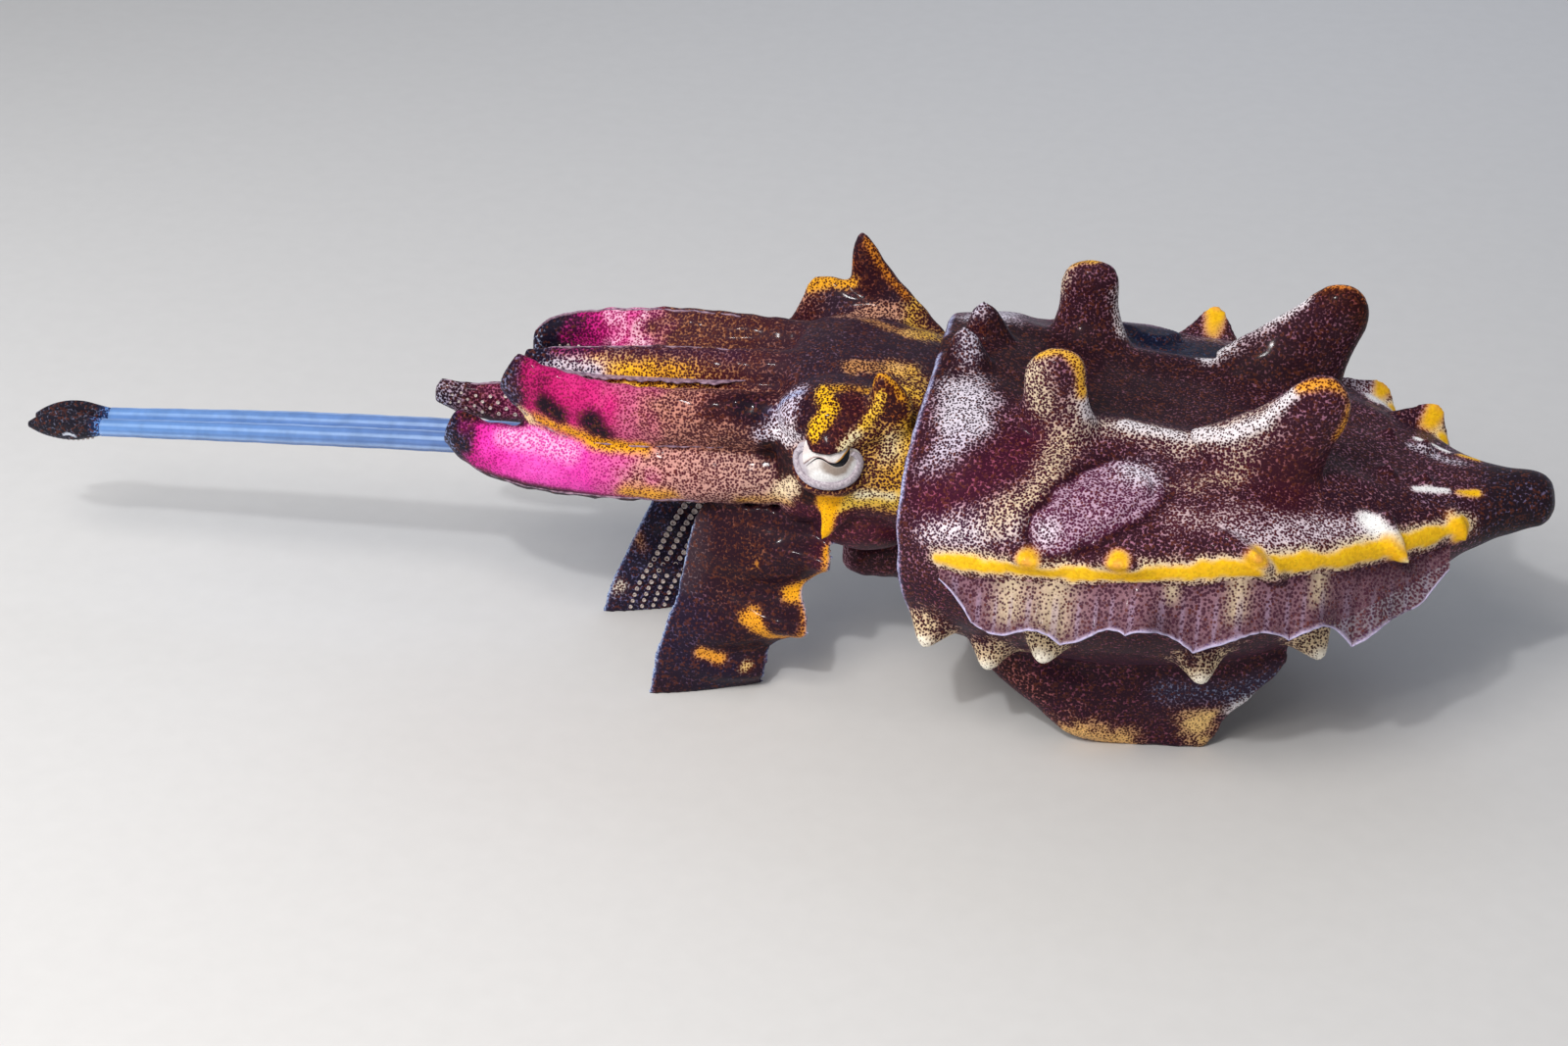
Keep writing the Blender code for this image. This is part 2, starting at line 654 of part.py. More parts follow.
def make_arm(name: str, limb: Limb) -> bpy.types.Object:
    """Makes one arm, with two rows of suckers on its inner side out to its tip."""
    path = smooth_curve(limb.path, ARM_RINGS)
    widths = smooth_curve(limb.half_width, ARM_RINGS)
    heights = smooth_curve(limb.half_height, ARM_RINGS)
    tangents = np.gradient(path, axis=0)
    across = np.array([unit(np.cross(tangent, (0.0, 0.0, 1.0))) for tangent in tangents])
    up = np.array([unit(np.cross(side, tangent)) for side, tangent in zip(across, tangents)])
    across[0] = (0, 1, 0)
    up[0] = (0, 0, 1)
    rings = []
    for centre, side, rise, width, height in zip(path, across, up, widths, heights):
        ring = [centre + side * width * math.cos(a) + rise * height * math.sin(a) for a in turns(ARM_SIDES)]
        rings.append(ring)
    body = lofted(name, rings, path[0], path[-1] + (path[-1] - path[-2]) * ARM_TIP_SHARE)
    return combine(body, arm_suckers(limb.oral, path, widths, heights, across, up), "UNION")


def arm_suckers(oral: tuple, path, widths, heights, across, up) -> list:
    """Makes the suckers of an arm, in two rows along the side it holds its food with."""
    oral = unit(oral)
    levels = np.arange(len(path))
    first, last = SUCKER_SPAN
    suckers = []
    for row in (-1, 1):
        for count in range(SUCKERS_PER_ROW):
            share = first + (last - first) * (count + 0.25 * (row + 1)) / SUCKERS_PER_ROW
            at = [share * levels[-1]]
            centre, side, rise = (hermite(levels, values, at)[0] for values in (path, across, up))
            width = profile(levels, widths, at[0])
            height = profile(levels, heights, at[0])
            angle = math.atan2(oral @ rise / height, oral @ side / width) + row * ROW_ANGLE
            rim = side * width * math.cos(angle) + rise * height * math.sin(angle)
            normal = unit(side * math.cos(angle) / width + rise * math.sin(angle) / height)
            suckers.append(make_sucker(centre + rim, normal, SUCKER_SIZE * math.sqrt(width * height)))
    return suckers


def make_sucker(root, normal, radius: float) -> bpy.types.Object:
    """Makes one sucker as a short cup, its foot sunk in the arm."""
    bm = bmesh.new()
    bmesh.ops.create_cone(
        bm,
        cap_ends=True,
        segments=SUCKER_SIDES,
        radius1=radius * MM,
        radius2=radius * 0.8 * MM,
        depth=radius * 2.2 * MM,
    )
    turn = Vector((0, 0, 1)).rotation_difference(Vector(normal)).to_matrix()
    bmesh.ops.rotate(bm, verts=bm.verts, matrix=turn)
    bmesh.ops.translate(bm, verts=bm.verts, vec=place(root - normal * radius * 0.35))
    return new_object("sucker", bm)


def blade_ring(front, rear, z: float, half_thickness: float) -> list:
    """Returns one level cross-section of a blade, rounded and thinner at its front and rear edges."""
    front = np.asarray(front, float)
    rear = np.asarray(rear, float)
    centre = (front + rear) / 2
    reach = (front - rear) / 2
    normal = unit((-reach[1], reach[0]))
    ring = []
    for angle in turns(BLADE_AROUND):
        x, y = centre + reach * math.cos(angle) + normal * half_thickness * math.sin(angle)
        ring.append((x, y, z))
    return ring


def make_leg(name: str, side: int, levels, fronts, rears) -> bpy.types.Object:
    """Makes one broad walking arm, from its root at the crown down to a small flat on the floor."""
    heights = smooth_curve(levels, LEG_SECTIONS)
    fronts = hermite(levels, fronts, heights)
    rears = hermite(levels, rears, heights)
    thickness = smooth_curve(LEG_HALF_THICKNESS, LEG_SECTIONS)
    rings = [blade_ring(*section) for section in zip(fronts, rears, heights, thickness)]
    top = np.mean(rings[-1], axis=0)
    root = np.array(LEG_ROOT) * (1, side, 1)
    sunk = top + (rings[-4][0] - top) * 0.3 - (0, 0, LEG_STALK_DEPTH)
    stalk = []
    for share, size in LEG_STALK:
        centre = root + (sunk - root) * share - (0, 0, LEG_STALK_SAG * math.sin(math.pi * share))
        radius = LEG_ROOT_RADIUS * size
        ring = [
            centre + (0, 1.1 * radius * math.cos(a), radius * math.sin(a)) for a in turns(LEG_STALK_SIDES)
        ]
        stalk.append(ring)
    pieces = leg_suckers(rings, side)
    pieces.append(lofted("stalk", stalk, root, sunk + (sunk - root) * 0.1))
    return combine(capped(name, rings), pieces, "UNION")


def leg_suckers(rings: list, side: int) -> list:
    """Makes two rows of suckers down the inner face of a leg."""
    inner = BLADE_AROUND * (3 if side < 0 else 1) // 4
    radii = np.linspace(*LEG_SUCKER_RADII, len(rings))
    suckers = []
    for ring, radius in list(zip(rings, radii))[1:-1]:
        normal = unit(ring[inner] - np.mean(ring, axis=0))
        for spoke in (inner - 1, inner + 1):
            suckers.append(make_sucker(ring[spoke], normal, radius))
    return suckers


def make_flap(name: str, side: int) -> bpy.types.Object:
    """Makes one walking flap, which hangs from the belly and ends in a flat on the floor."""
    heights = smooth_curve(FLAP_LEVELS, 8)
    front, rear, middle, thickness = (
        hermite(FLAP_LEVELS, values, heights)
        for values in (FLAP_FRONT_X, FLAP_REAR_X, FLAP_Y, FLAP_HALF_THICKNESS)
    )
    rings = [
        blade_ring((f, side * y), (r, side * y), z, t)
        for f, r, y, z, t in zip(front, rear, middle, heights, thickness)
    ]
    belly = capped("belly", [mantle_ring(x, grow=GAP) for x in np.linspace(MANTLE_X[0], TAIL_CUT_X, 30)])
    return combine(capped(name, rings), [belly], "DIFFERENCE")


def flank(x: float, z: float, grow: float) -> float:
    """Returns how far the mantle's side reaches from the midline at a station and height below the stripe."""
    side = profile(MANTLE_X, MANTLE_SIDE, x)
    depth = side - profile(MANTLE_X, MANTLE_BELLY, x)
    sine = (max(0.0, side - z) / depth) ** (1 / MANTLE_POWER)
    width = profile(MANTLE_X, MANTLE_HALF_WIDTH, x) + grow
    return width * math.sqrt(max(0.0, 1 - sine**2)) ** MANTLE_POWER


def fin_section(x: float) -> list:
    """Returns the fin's outline at station x, as distance from the midline and height."""
    stripe = profile(MANTLE_X, MANTLE_SIDE, x)
    drop = profile(FIN_X, FIN_DROP, x)
    reach = profile(FIN_X, FIN_REACH, x)
    edge_y = flank(x, stripe, 0.0) + reach
    middle_y = edge_y - reach * (1 - FIN_MIDDLE[0])
    middle_z = stripe - drop * FIN_MIDDLE[1]
    edge_z = stripe - drop * FIN_EDGE_SHARE
    middle = (FIN_ROOT_THICKNESS + FIN_EDGE_THICKNESS) / 4
    edge = FIN_EDGE_THICKNESS / 2
    top = stripe - FIN_BELOW_STRIPE
    low = top - FIN_ROOT_THICKNESS
    return [
        (flank(x, top, FIN_GAP), top),
        (middle_y + middle, middle_z + middle),
        (edge_y + edge, edge_z),
        (edge_y, stripe - drop),
        (edge_y - edge, edge_z),
        (middle_y - middle, middle_z - middle),
        (flank(x, low, FIN_GAP), low),
    ]


def make_fin(name: str, side: int) -> bpy.types.Object:
    """Makes one thin, waved fin along the yellow stripe, from its root on the mantle to its free edge."""
    rings = [
        [(x, side * y, z) for y, z in fin_section(x)] for x in np.linspace(FIN_X[0], FIN_X[-1], FIN_SECTIONS)
    ]
    fin = capped(name, rings)
    keep_largest(fin.data)
    return fin


def make_stalks(side_name: str, side: int) -> list:
    """Makes one shot-out feeding tentacle's stalk, as two lengths that meet face to face."""
    knots = np.arange(len(TENTACLE_PATH))
    stalks = []
    for letter, first, last in TENTACLE_LENGTHS:
        at = np.linspace(first, last, 9)
        points = hermite(knots, TENTACLE_PATH, at) * (1, side, 1)
        if first:
            points[0, 0] -= GAP
        rings = []
        for (x, y, z), radius in zip(points, hermite(knots, TENTACLE_RADIUS, at)):
            section = oval_ring(x, radius, z + radius, z, z - radius, 10)
            rings.append([(px, y + py, pz) for px, py, pz in section])
        stalks.append(capped(f"tentacle_{side_name}_{letter}", rings))
    return stalks


def make_club(name: str, side: int) -> bpy.types.Object:
    """Makes the flattened club at a tentacle's end, with suckers along its lower inner face."""
    root_x, _, root_z = TENTACLE_PATH[-1]
    root_x -= GAP
    shares = np.linspace(0.0, 0.97, 9)
    heights = hermite(CLUB_STATIONS, CLUB_HALF_HEIGHT, shares)
    widths = hermite(CLUB_STATIONS, CLUB_HALF_THICKNESS, shares)
    rings = []
    for share, height, width in zip(shares, heights, widths):
        x = root_x + (CLUB_TIP_X - root_x) * share
        z = root_z + (CLUB_TIP_Z - root_z) * share
        section = oval_ring(x, width, z + height, z, z - height, 10)
        rings.append([(px, side * (CLUB_Y + py), pz) for px, py, pz in section])
    club = lofted(name, rings, np.mean(rings[0], axis=0), (CLUB_TIP_X, side * CLUB_Y * 0.9, CLUB_TIP_Z))
    suckers = []
    for level, radius in CLUB_SUCKERS:
        centre = np.mean(rings[level], axis=0)
        for spoke in (7, 8):
            rim = np.array(rings[level][spoke])
            suckers.append(make_sucker(rim, unit(rim - centre), radius))
    return combine(club, suckers, "UNION")


def paint(obj: bpy.types.Object, kind: str) -> None:
    """Gives an object its own Principled material of one kind of skin."""
    material = bpy.data.materials.new(obj.name)
    material.use_nodes = True
    shader = material.node_tree.nodes["Principled BSDF"]
    shader.inputs["Base Color"].default_value = (*COLOURS[kind], 1.0)
    shader.inputs["Roughness"].default_value = WET_ROUGHNESS if kind == "eye" else SKIN_ROUGHNESS
    obj.data.materials.clear()
    obj.data.materials.append(material)


def main() -> None:
    """Clears the scene and makes every piece of the animal."""
    for obj in list(bpy.data.objects):
        bpy.data.objects.remove(obj)
    animal = {"mantle": [make_mantle(), make_tail()], "head": [make_head()], "funnel": [make_funnel()]}
    animal["arm"] = [make_arm(name, limb) for name, limb in ARMS.items()]
    animal["leg"] = [
        make_leg("arm_4_left", -1, NEAR_LEG_LEVELS, NEAR_LEG_FRONT, NEAR_LEG_REAR),
        make_leg("arm_4_right", 1, FAR_LEG_LEVELS, FAR_LEG_FRONT, FAR_LEG_REAR),
    ]
    animal["eye"] = [ball(f"eye_{name}", EYE_RADIUS, side) for name, side in SIDES]
    animal["mantle"] += [make_flap(f"flap_{name}", side) for name, side in SIDES]
    animal["fin"] = [make_fin(f"fin_{name}", side) for name, side in SIDES]
    animal["tentacle"] = [stalk for name, side in SIDES for stalk in make_stalks(name, side)]
    animal["club"] = [make_club(f"club_{name}", side) for name, side in SIDES]
    for kind, objects in animal.items():
        for obj in objects:
            paint(obj, kind)


if __name__ == "__main__":
    main()
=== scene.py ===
"""Dresses a life-size, still model of a flamboyant cuttlefish walking with its feeding tentacles shot out.

Sizes are in millimetres in the animal's own frame: x = 0 at the mantle's front edge and +X towards the tail,
-Y on its left side, and z = 0 on the floor. placed() turns them to metres about the model's origin.
"""

import logging
import math
from collections.abc import Callable, Sequence
from dataclasses import dataclass, field
from enum import Enum

import bmesh
import bpy
import numpy as np
from bmesh.types import BMesh
from bpy.types import Material, Mesh, Node, NodeSocket, NodeTree, Object
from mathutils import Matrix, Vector


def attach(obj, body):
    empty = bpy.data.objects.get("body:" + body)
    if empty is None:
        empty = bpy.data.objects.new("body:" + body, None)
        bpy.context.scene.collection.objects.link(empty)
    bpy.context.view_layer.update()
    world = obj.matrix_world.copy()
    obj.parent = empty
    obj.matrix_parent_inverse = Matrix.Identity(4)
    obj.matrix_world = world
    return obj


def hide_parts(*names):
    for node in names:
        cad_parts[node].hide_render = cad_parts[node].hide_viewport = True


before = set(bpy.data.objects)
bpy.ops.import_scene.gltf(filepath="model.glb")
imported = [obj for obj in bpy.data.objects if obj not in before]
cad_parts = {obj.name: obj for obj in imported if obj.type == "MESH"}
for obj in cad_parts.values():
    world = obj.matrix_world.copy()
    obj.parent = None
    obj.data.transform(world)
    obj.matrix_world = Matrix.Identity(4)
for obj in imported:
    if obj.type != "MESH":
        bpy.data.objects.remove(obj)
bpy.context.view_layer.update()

Array = np.ndarray
Places = list[tuple[Array, Array, float]]
LOG = logging.getLogger("cuttlefish")

MM = 0.001
BODY = "root"
ORIGIN_X = -19.1
FULL_TURN = 2 * math.pi
TINY = 1e-12
RIPPLE_WAVES = 9


class Side(Enum):
    """A side of the animal; its value is the sign of y there."""

    LEFT = -1
    RIGHT = 1

    @property
    def label(self) -> str:
        """The side's name as the nodes write it."""
        return self.name.lower()

    @property
    def mirror(self) -> Array:
        """What turns a place given for the right side into this side's."""
        return np.array((1.0, self.value, 1.0))


LEFT, RIGHT = Side


# ---------------------------------------------------------------- numbers and curves


def linear(code: str) -> Array:
    """Turns an sRGB hex colour to linear light.

    Args:
        code: the colour, as "#rrggbb".

    Returns:
        Red, green and blue from 0 to 1.
    """
    srgb = np.array([int(code[start : start + 2], 16) / 255 for start in (1, 3, 5)])
    return np.where(srgb <= 0.04045, srgb / 12.92, ((srgb + 0.055) / 1.055) ** 2.4)


def rgba(code: str) -> tuple[float, float, float, float]:
    """Returns a hex colour as a shader socket takes it."""
    return (*linear(code), 1.0)


def placed(points: Sequence | Array) -> Array:
    """Turns places in the animal's frame to metres about the model's origin."""
    return (np.asarray(points, float) - (ORIGIN_X, 0.0, 0.0)) * MM


def smoothstep(low: float, high: float, value: Array | float) -> Array:
    """Returns 0 below low, 1 above high and a smooth step between."""
    share = np.clip((np.asarray(value, float) - low) / (high - low), 0.0, 1.0)
    return share * share * (3 - 2 * share)


def unit(vectors: Sequence | Array) -> Array:
    """Returns each vector at length one."""
    vectors = np.asarray(vectors, float)
    return vectors / np.maximum(np.linalg.norm(vectors, axis=-1, keepdims=True), TINY)


def hermite(knots: Sequence, values: Sequence | Array, at: Sequence | Array) -> Array:
    """Reads a smooth cubic curve through the values.

    Args:
        knots: rising places of the values.
        values: numbers or points, one for each knot.
        at: the places to read.

    Returns:
        The number or point at each place.
    """
    knots, values, at = (np.asarray(part, float) for part in (knots, values, at))
    tangents = np.gradient(values, knots, axis=0)
    index = np.clip(np.searchsorted(knots, at, side="right") - 1, 0, len(knots) - 2)
    width = knots[index + 1] - knots[index]
    t = (at - knots[index]) / width
    if values.ndim > 1:
        t = t[:, None]
        width = width[:, None]
    return (
        values[index] * (1 + 2 * t) * (1 - t) ** 2
        + values[index + 1] * t**2 * (3 - 2 * t)
        + tangents[index] * width * t * (1 - t) ** 2
        - tangents[index + 1] * width * t**2 * (1 - t)
    )


def measure(knots: Sequence, values: Sequence, x: float) -> float:
    """Returns one measure of an outline at the station x."""
    return float(hermite(knots, values, [x])[0])


def smooth_curve(keys: Sequence, count: int) -> Array:
    """Returns count evenly spaced points of a smooth curve through the keys."""
    keys = np.asarray(keys, float)
    steps = np.linalg.norm(np.diff(keys, axis=0), axis=1) if keys.ndim > 1 else np.ones(len(keys) - 1)
    knots = np.concatenate([[0.0], np.cumsum(steps)])
    return hermite(knots, keys, np.linspace(0.0, knots[-1], count))


def flattened(wave: Array, power: float) -> Array:
    """Returns a sine or cosine raised to a power, with its sign kept."""
    return np.sign(wave) * np.abs(wave) ** power


def colours_at(x: Array, places: Sequence, codes: Sequence[str]) -> Array:
    """Returns the colour at each x, blended between hex colours at rising places."""
    channels = np.transpose([linear(code) for code in codes])
    return np.stack([np.interp(x, places, channel) for channel in channels], axis=1)


def layered(base: str, *layers: tuple[str, Array]) -> Array:
    """Returns a colour for each vertex: the base, and over it each layer's hex colour by its weight."""
    colours = np.tile(linear(base), (len(layers[0][1]), 1))
    for code, weight in layers:
        colours += (linear(code) - colours) * weight[:, None]
    return colours


def ripple(points: Array, wavelength: float, seed: int) -> Array:
    """Returns smooth, irregular values of about -1 to 1, as a sum of seeded plane waves.

    Args:
        points: the places, in mm.
        wavelength: the usual distance from crest to crest.
        seed: picks the waves.

    Returns:
        One value for each point.
    """
    rng = np.random.default_rng(seed)
    total = np.zeros(len(points))
    for _ in range(RIPPLE_WAVES):
        direction = unit(rng.normal(size=3))
        turn = FULL_TURN / (wavelength * rng.uniform(0.7, 1.5))
        total += np.sin(points @ direction * turn + rng.uniform(0.0, FULL_TURN))
    return total / math.sqrt(RIPPLE_WAVES)


def path_distance(points: Array, path: Sequence | Array) -> tuple[Array, Array]:
    """Measures how far points are from a line of straight runs.

    Args:
        points: the places to measure from.
        path: the line's points; a single one is a spot.

    Returns:
        The distance of each place, and how far along the line its nearest point is, from 0 to 1.
    """
    path = np.asarray(path, float).reshape(-1, 3)
    best = np.full(len(points), np.inf)
    share = np.zeros(len(points))
    if len(path) == 1:
        return np.linalg.norm(points - path[0], axis=1), share
    runs = len(path) - 1
    for number, (start, end) in enumerate(zip(path[:-1], path[1:])):
        run = end - start
        t = np.clip((points - start) @ run / max(run @ run, TINY), 0.0, 1.0)
        gap = np.linalg.norm(points - start - t[:, None] * run, axis=1)
        nearer = gap < best
        best = np.where(nearer, gap, best)
        share = np.where(nearer, (number + t) / runs, share)
    return best, share


# ---------------------------------------------------------------- meshes


def loft(bm: BMesh, rings: Sequence, start: Sequence | None = None, end: Sequence | None = None) -> None:
    """Shapes a new UV sphere's parallels into rings, and its poles into the two ends.

    Args:
        bm: the bmesh that takes the shape.
        rings: closed rings of points, all of one count.
        start: the end point before the first ring, or None for the middle of that ring.
        end: the end point after the last one, or None for its middle.
    """
    start = np.mean(rings[0], axis=0) if start is None else start
    end = np.mean(rings[-1], axis=0) if end is None else end
    rings = placed(rings)
    levels, around = rings.shape[:2]
    poles = (placed(end), placed(start))
    made = bmesh.ops.create_uvsphere(bm, u_segments=around, v_segments=levels + 1, radius=1.0)
    for vertex in made["verts"]:
        level = round(math.acos(max(-1.0, min(1.0, vertex.co.z))) / math.pi * (levels + 1))
        if 0 < level <= levels:
            turn = math.atan2(vertex.co.y, vertex.co.x) - math.pi / 2
            vertex.co = rings[levels - level][round(turn / FULL_TURN * around) % around]
        else:
            vertex.co = poles[level > 0]


def sheet(bm: BMesh, surface: Callable[[Array, Array], Array], along: int, across: int) -> None:
    """Lays a grid over a surface.

    Args:
        bm: the bmesh that takes the sheet.
        surface: gives the points at two arrays of shares from 0 to 1, along and across.
        along: faces along the sheet.
        across: faces across it.
    """
    made = bmesh.ops.create_grid(bm, x_segments=along, y_segments=across, size=1.0)
    flat = np.array([vertex.co for vertex in made["verts"]])
    points = placed(surface((flat[:, 0] + 1) / 2, (flat[:, 1] + 1) / 2))
    for vertex, point in zip(made["verts"], points):
        vertex.co = point


def oval(centre: Array, across: Array, up: Array, angles: Array) -> Array:
    """Returns the ring of points round a centre, with the half axes across and up."""
    return centre + np.cos(angles)[:, None] * across + np.sin(angles)[:, None] * up


def spokes(count: int) -> Array:
    """Returns the angles of count even steps of a full turn."""
    return np.arange(count) * FULL_TURN / count


def new_object(name: str, bm: BMesh) -> Object:
    """Turns a bmesh of closed shapes into an object with its faces outwards."""
    bmesh.ops.recalc_face_normals(bm, faces=bm.faces)
    mesh = bpy.data.meshes.new(name)
    bm.to_mesh(mesh)
    bm.free()
    obj = bpy.data.objects.new(name, mesh)
    bpy.context.scene.collection.objects.link(obj)
    return obj


def lofted(name: str, rings: Sequence, start: Sequence | None = None, end: Sequence | None = None) -> Object:
    """Returns a new object of one loft, by its name, rings and ends."""
    bm = bmesh.new()
    loft(bm, rings, start, end)
    return new_object(name, bm)


def apply_modifiers(obj: Object) -> None:
    """Gives the object the mesh that its modifiers make."""
    graph = bpy.context.evaluated_depsgraph_get()
    obj.data = bpy.data.meshes.new_from_object(obj.evaluated_get(graph))
    obj.modifiers.clear()


def melted(name: str, bm: BMesh, voxel: float, passes: int) -> Object:
    """Melts closed, overlapping shapes into one skin without seams.

    Args:
        name: the piece's name.
        bm: the shapes.
        voxel: the new faces' size in mm.
        passes: rounds of smoothing that turn each meeting into a soft fold.

    Returns:
        The piece.
    """
    obj = new_object(name, bm)
    melt = obj.modifiers.new("melt", "REMESH")
    melt.mode = "VOXEL"
    melt.voxel_size = voxel * MM
    soften = obj.modifiers.new("soften", "SMOOTH")
    soften.factor = 0.5
    soften.iterations = passes
    apply_modifiers(obj)
    return obj


def vertex_data(mesh: Mesh) -> tuple[Array, Array]:
    """Returns a mesh's vertices in the animal's frame, in mm, and their normals."""
    points = np.empty(len(mesh.vertices) * 3)
    normals = np.empty(len(mesh.vertices) * 3)
    mesh.vertices.foreach_get("co", points)
    mesh.vertex_normals.foreach_get("vector", normals)
    return points.reshape(-1, 3) / MM + (ORIGIN_X, 0.0, 0.0), normals.reshape(-1, 3)


def store(mesh: Mesh, name: str, values: Array) -> None:
    """Keeps a number or a colour for each vertex under a name."""
    if values.ndim == 1:
        mesh.attributes.new(name, "FLOAT", "POINT").data.foreach_set("value", values)
        return
    colours = np.ones((len(values), 4))
    colours[:, :3] = values
    mesh.attributes.new(name, "FLOAT_COLOR", "POINT").data.foreach_set("color", colours.ravel())


def turn_outwards(obj: Object, centre: Array) -> None:
    """Turns an open sheet's faces away from a place in the animal's frame."""
    points, normals = vertex_data(obj.data)
    if np.mean(np.sum((points - centre) * normals, axis=1)) < 0:
        obj.data.flip_normals()


def thicken(obj: Object, thickness: float, offset: float) -> None:
    """Turns an open sheet into a closed one.

    Args:
        obj: the sheet.
        thickness: its wall, in mm.
        offset: -1 to grow inwards, 0 both ways, 1 outwards.
    """
    wall = obj.modifiers.new("wall", "SOLIDIFY")
    wall.thickness = thickness * MM
    wall.offset = offset
    wall.use_even_offset = False
    apply_modifiers(obj)


def finish_piece(obj: Object, material: Material, nodes: Sequence[str] = ()) -> None:
    """Gives a piece its material, body and slot, and hides the CAD nodes that it stands for.

    Args:
        obj: the piece, in place.
        material: its finish.
        nodes: the CAD nodes that it replaces.
    """
    obj.data.materials.clear()
    obj.data.materials.append(material)
    obj.data.shade_smooth()
    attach(obj, BODY)
    if nodes:
        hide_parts(*nodes)
    LOG.info("%s: %d vertices", obj.name, len(obj.data.vertices))


# ---------------------------------------------------------------- colour pattern


@dataclass(frozen=True)
class Mark:
    """A patch, spot or line of the animal's pattern, along a path on its left side or on one named side.

    Attributes:
        path: the points of its middle line, in mm.
        reach: how far it spreads from that line, in mm.
        under: hex colour of the pale ground there, or None to keep it.
        pigment: hex colour of the dark dots there, or None to keep it.
        cover: share of the ground that the dots hide, or None to keep it.
        lift: how far the skin rises there, in mm.
        soft: share of the reach over which it fades out.
        side: the only side that has it, or None for both.
        fray: how uneven its border is.
        flat: how much distances across the body count.
    """

    path: tuple
    reach: float
    under: str | None = None
    pigment: str | None = None
    cover: float | None = None
    lift: float = 0.0
    soft: float = 0.5
    side: Side | None = None
    fray: float = 0.1
    flat: float = 1.0

    def weight(self, points: Array, uneven: Array) -> Array:
        """Returns how strongly each point has the mark.

        Args:
            points: the places, in mm.
            uneven: a ripple that frays the border.

        Returns:
            0 outside the mark to 1 in its middle.
        """
        points = points.copy()
        if self.side is None:
            points[:, 1] = -np.abs(points[:, 1])
        scale = np.array((1.0, self.flat, 1.0))
        gap, _ = path_distance(points * scale, np.array(self.path).reshape(-1, 3) * scale)
        share = gap / self.reach + uneven * self.fray
        return 1.0 - smoothstep(1.0 - self.soft, 1.0 + self.soft, share)


@dataclass
class Paint:
    """The colours of one skin: a pale ground, dark dots over it and the share that they hide.

    Attributes:
        points: the skin's vertices, in mm.
        under: ground colour at each, in linear light.
        pigment: dot colour at each.
        cover: share of the ground hidden at each.
        lift: how far each rises from the skin, in mm.
    """

    points: Array
    under: Array = field(init=False)
    pigment: Array = field(init=False)
    cover: Array = field(init=False)
    lift: Array = field(init=False)
    uneven: Array = field(init=False)

    def __post_init__(self) -> None:
        """Starts with a plain skin."""
        count = len(self.points)
        self.under, self.pigment = np.zeros((2, count, 3))
        self.cover, self.lift = np.zeros((2, count))
        self.uneven = ripple(self.points, 4.0, 3) + 0.6 * ripple(self.points, 1.7, 4)

    def blend(
        self,
        weight: Array | float,
        under: str | Array | None = None,
        pigment: str | Array | None = None,
        cover: Array | float | None = None,
    ) -> None:
        """Paints over the skin by a weight.

        Args:
            weight: 0 to 1 at each vertex, or one number for all.
            under: the ground's colour, as one hex colour or one colour at each vertex, or None to keep it.
            pigment: the dots' colour, likewise.
            cover: share of the ground hidden, or None to keep it.
        """
        share = np.broadcast_to(np.clip(weight, 0.0, 1.0), len(self.points))
        for colours, wanted in ((self.under, under), (self.pigment, pigment)):
            if wanted is not None:
                goal = linear(wanted) if isinstance(wanted, str) else wanted
                colours += (goal - colours) * share[:, None]
        if cover is not None:
            self.cover += (cover - self.cover) * share

    def apply(self, marks: Sequence[Mark]) -> None:
        """Paints the marks in order, each over those before it."""
        for mark in marks:
            weight = mark.weight(self.points, self.uneven)
            self.blend(weight, mark.under, mark.pigment, mark.cover)
            self.lift += weight * mark.lift

    def keep(self, mesh: Mesh, normals: Array) -> None:
        """Moves the mesh by the marks' lift and keeps the colours on it."""
        mesh.vertices.foreach_set("co", placed(self.points + normals * self.lift[:, None]).ravel())
        mesh.update()
        self.keep_colours(mesh)

    def keep_colours(self, mesh: Mesh) -> None:
        """Keeps the colours on the mesh."""
        for name in ("under", "pigment", "cover"):
            store(mesh, name, getattr(self, name))


# ---------------------------------------------------------------- finishes


def feed(tree: NodeTree, node: Node, inputs: dict) -> None:
    """Sets a node's inputs, each to a value or to the output that feeds it, by name or number."""
    for name, value in inputs.items():
        if isinstance(value, NodeSocket):
            tree.links.new(value, node.inputs[name])
        else:
            node.inputs[name].default_value = value


def add_node(tree: NodeTree, kind: str, inputs: dict | None = None, **settings: object) -> Node:
    """Adds a shader node with its settings, values and links.

    Args:
        tree: the material's nodes.
        kind: the node's type, without its prefix.
        inputs: a value, or the output that feeds it, for each input's name or number.
        settings: the node's own properties.

    Returns:
        The node.
    """
    node = tree.nodes.new("ShaderNode" + kind)
    for name, value in settings.items():
        setattr(node, name, value)
    feed(tree, node, inputs or {})
    return node


def reckon(tree: NodeTree, operation: str, *values: object, clamped: bool = False) -> NodeSocket:
    """Returns the result of a maths node on numbers or outputs."""
    return add_node(tree, "Math", dict(enumerate(values)), operation=operation, use_clamp=clamped).outputs[0]


def fit(
    tree: NodeTree, value: NodeSocket, source: tuple, target: tuple, kind: str = "LINEAR"
) -> NodeSocket:
    """Returns a value moved from one range to another and held inside it."""
    inputs = dict(zip(("Value", "From Min", "From Max", "To Min", "To Max"), (value, *source, *target)))
    return add_node(tree, "MapRange", inputs, interpolation_type=kind).outputs["Result"]


def kept(tree: NodeTree, name: str, output: str = "Color") -> NodeSocket:
    """Returns what the mesh keeps under a name."""
    return add_node(tree, "Attribute", attribute_name=name).outputs[output]


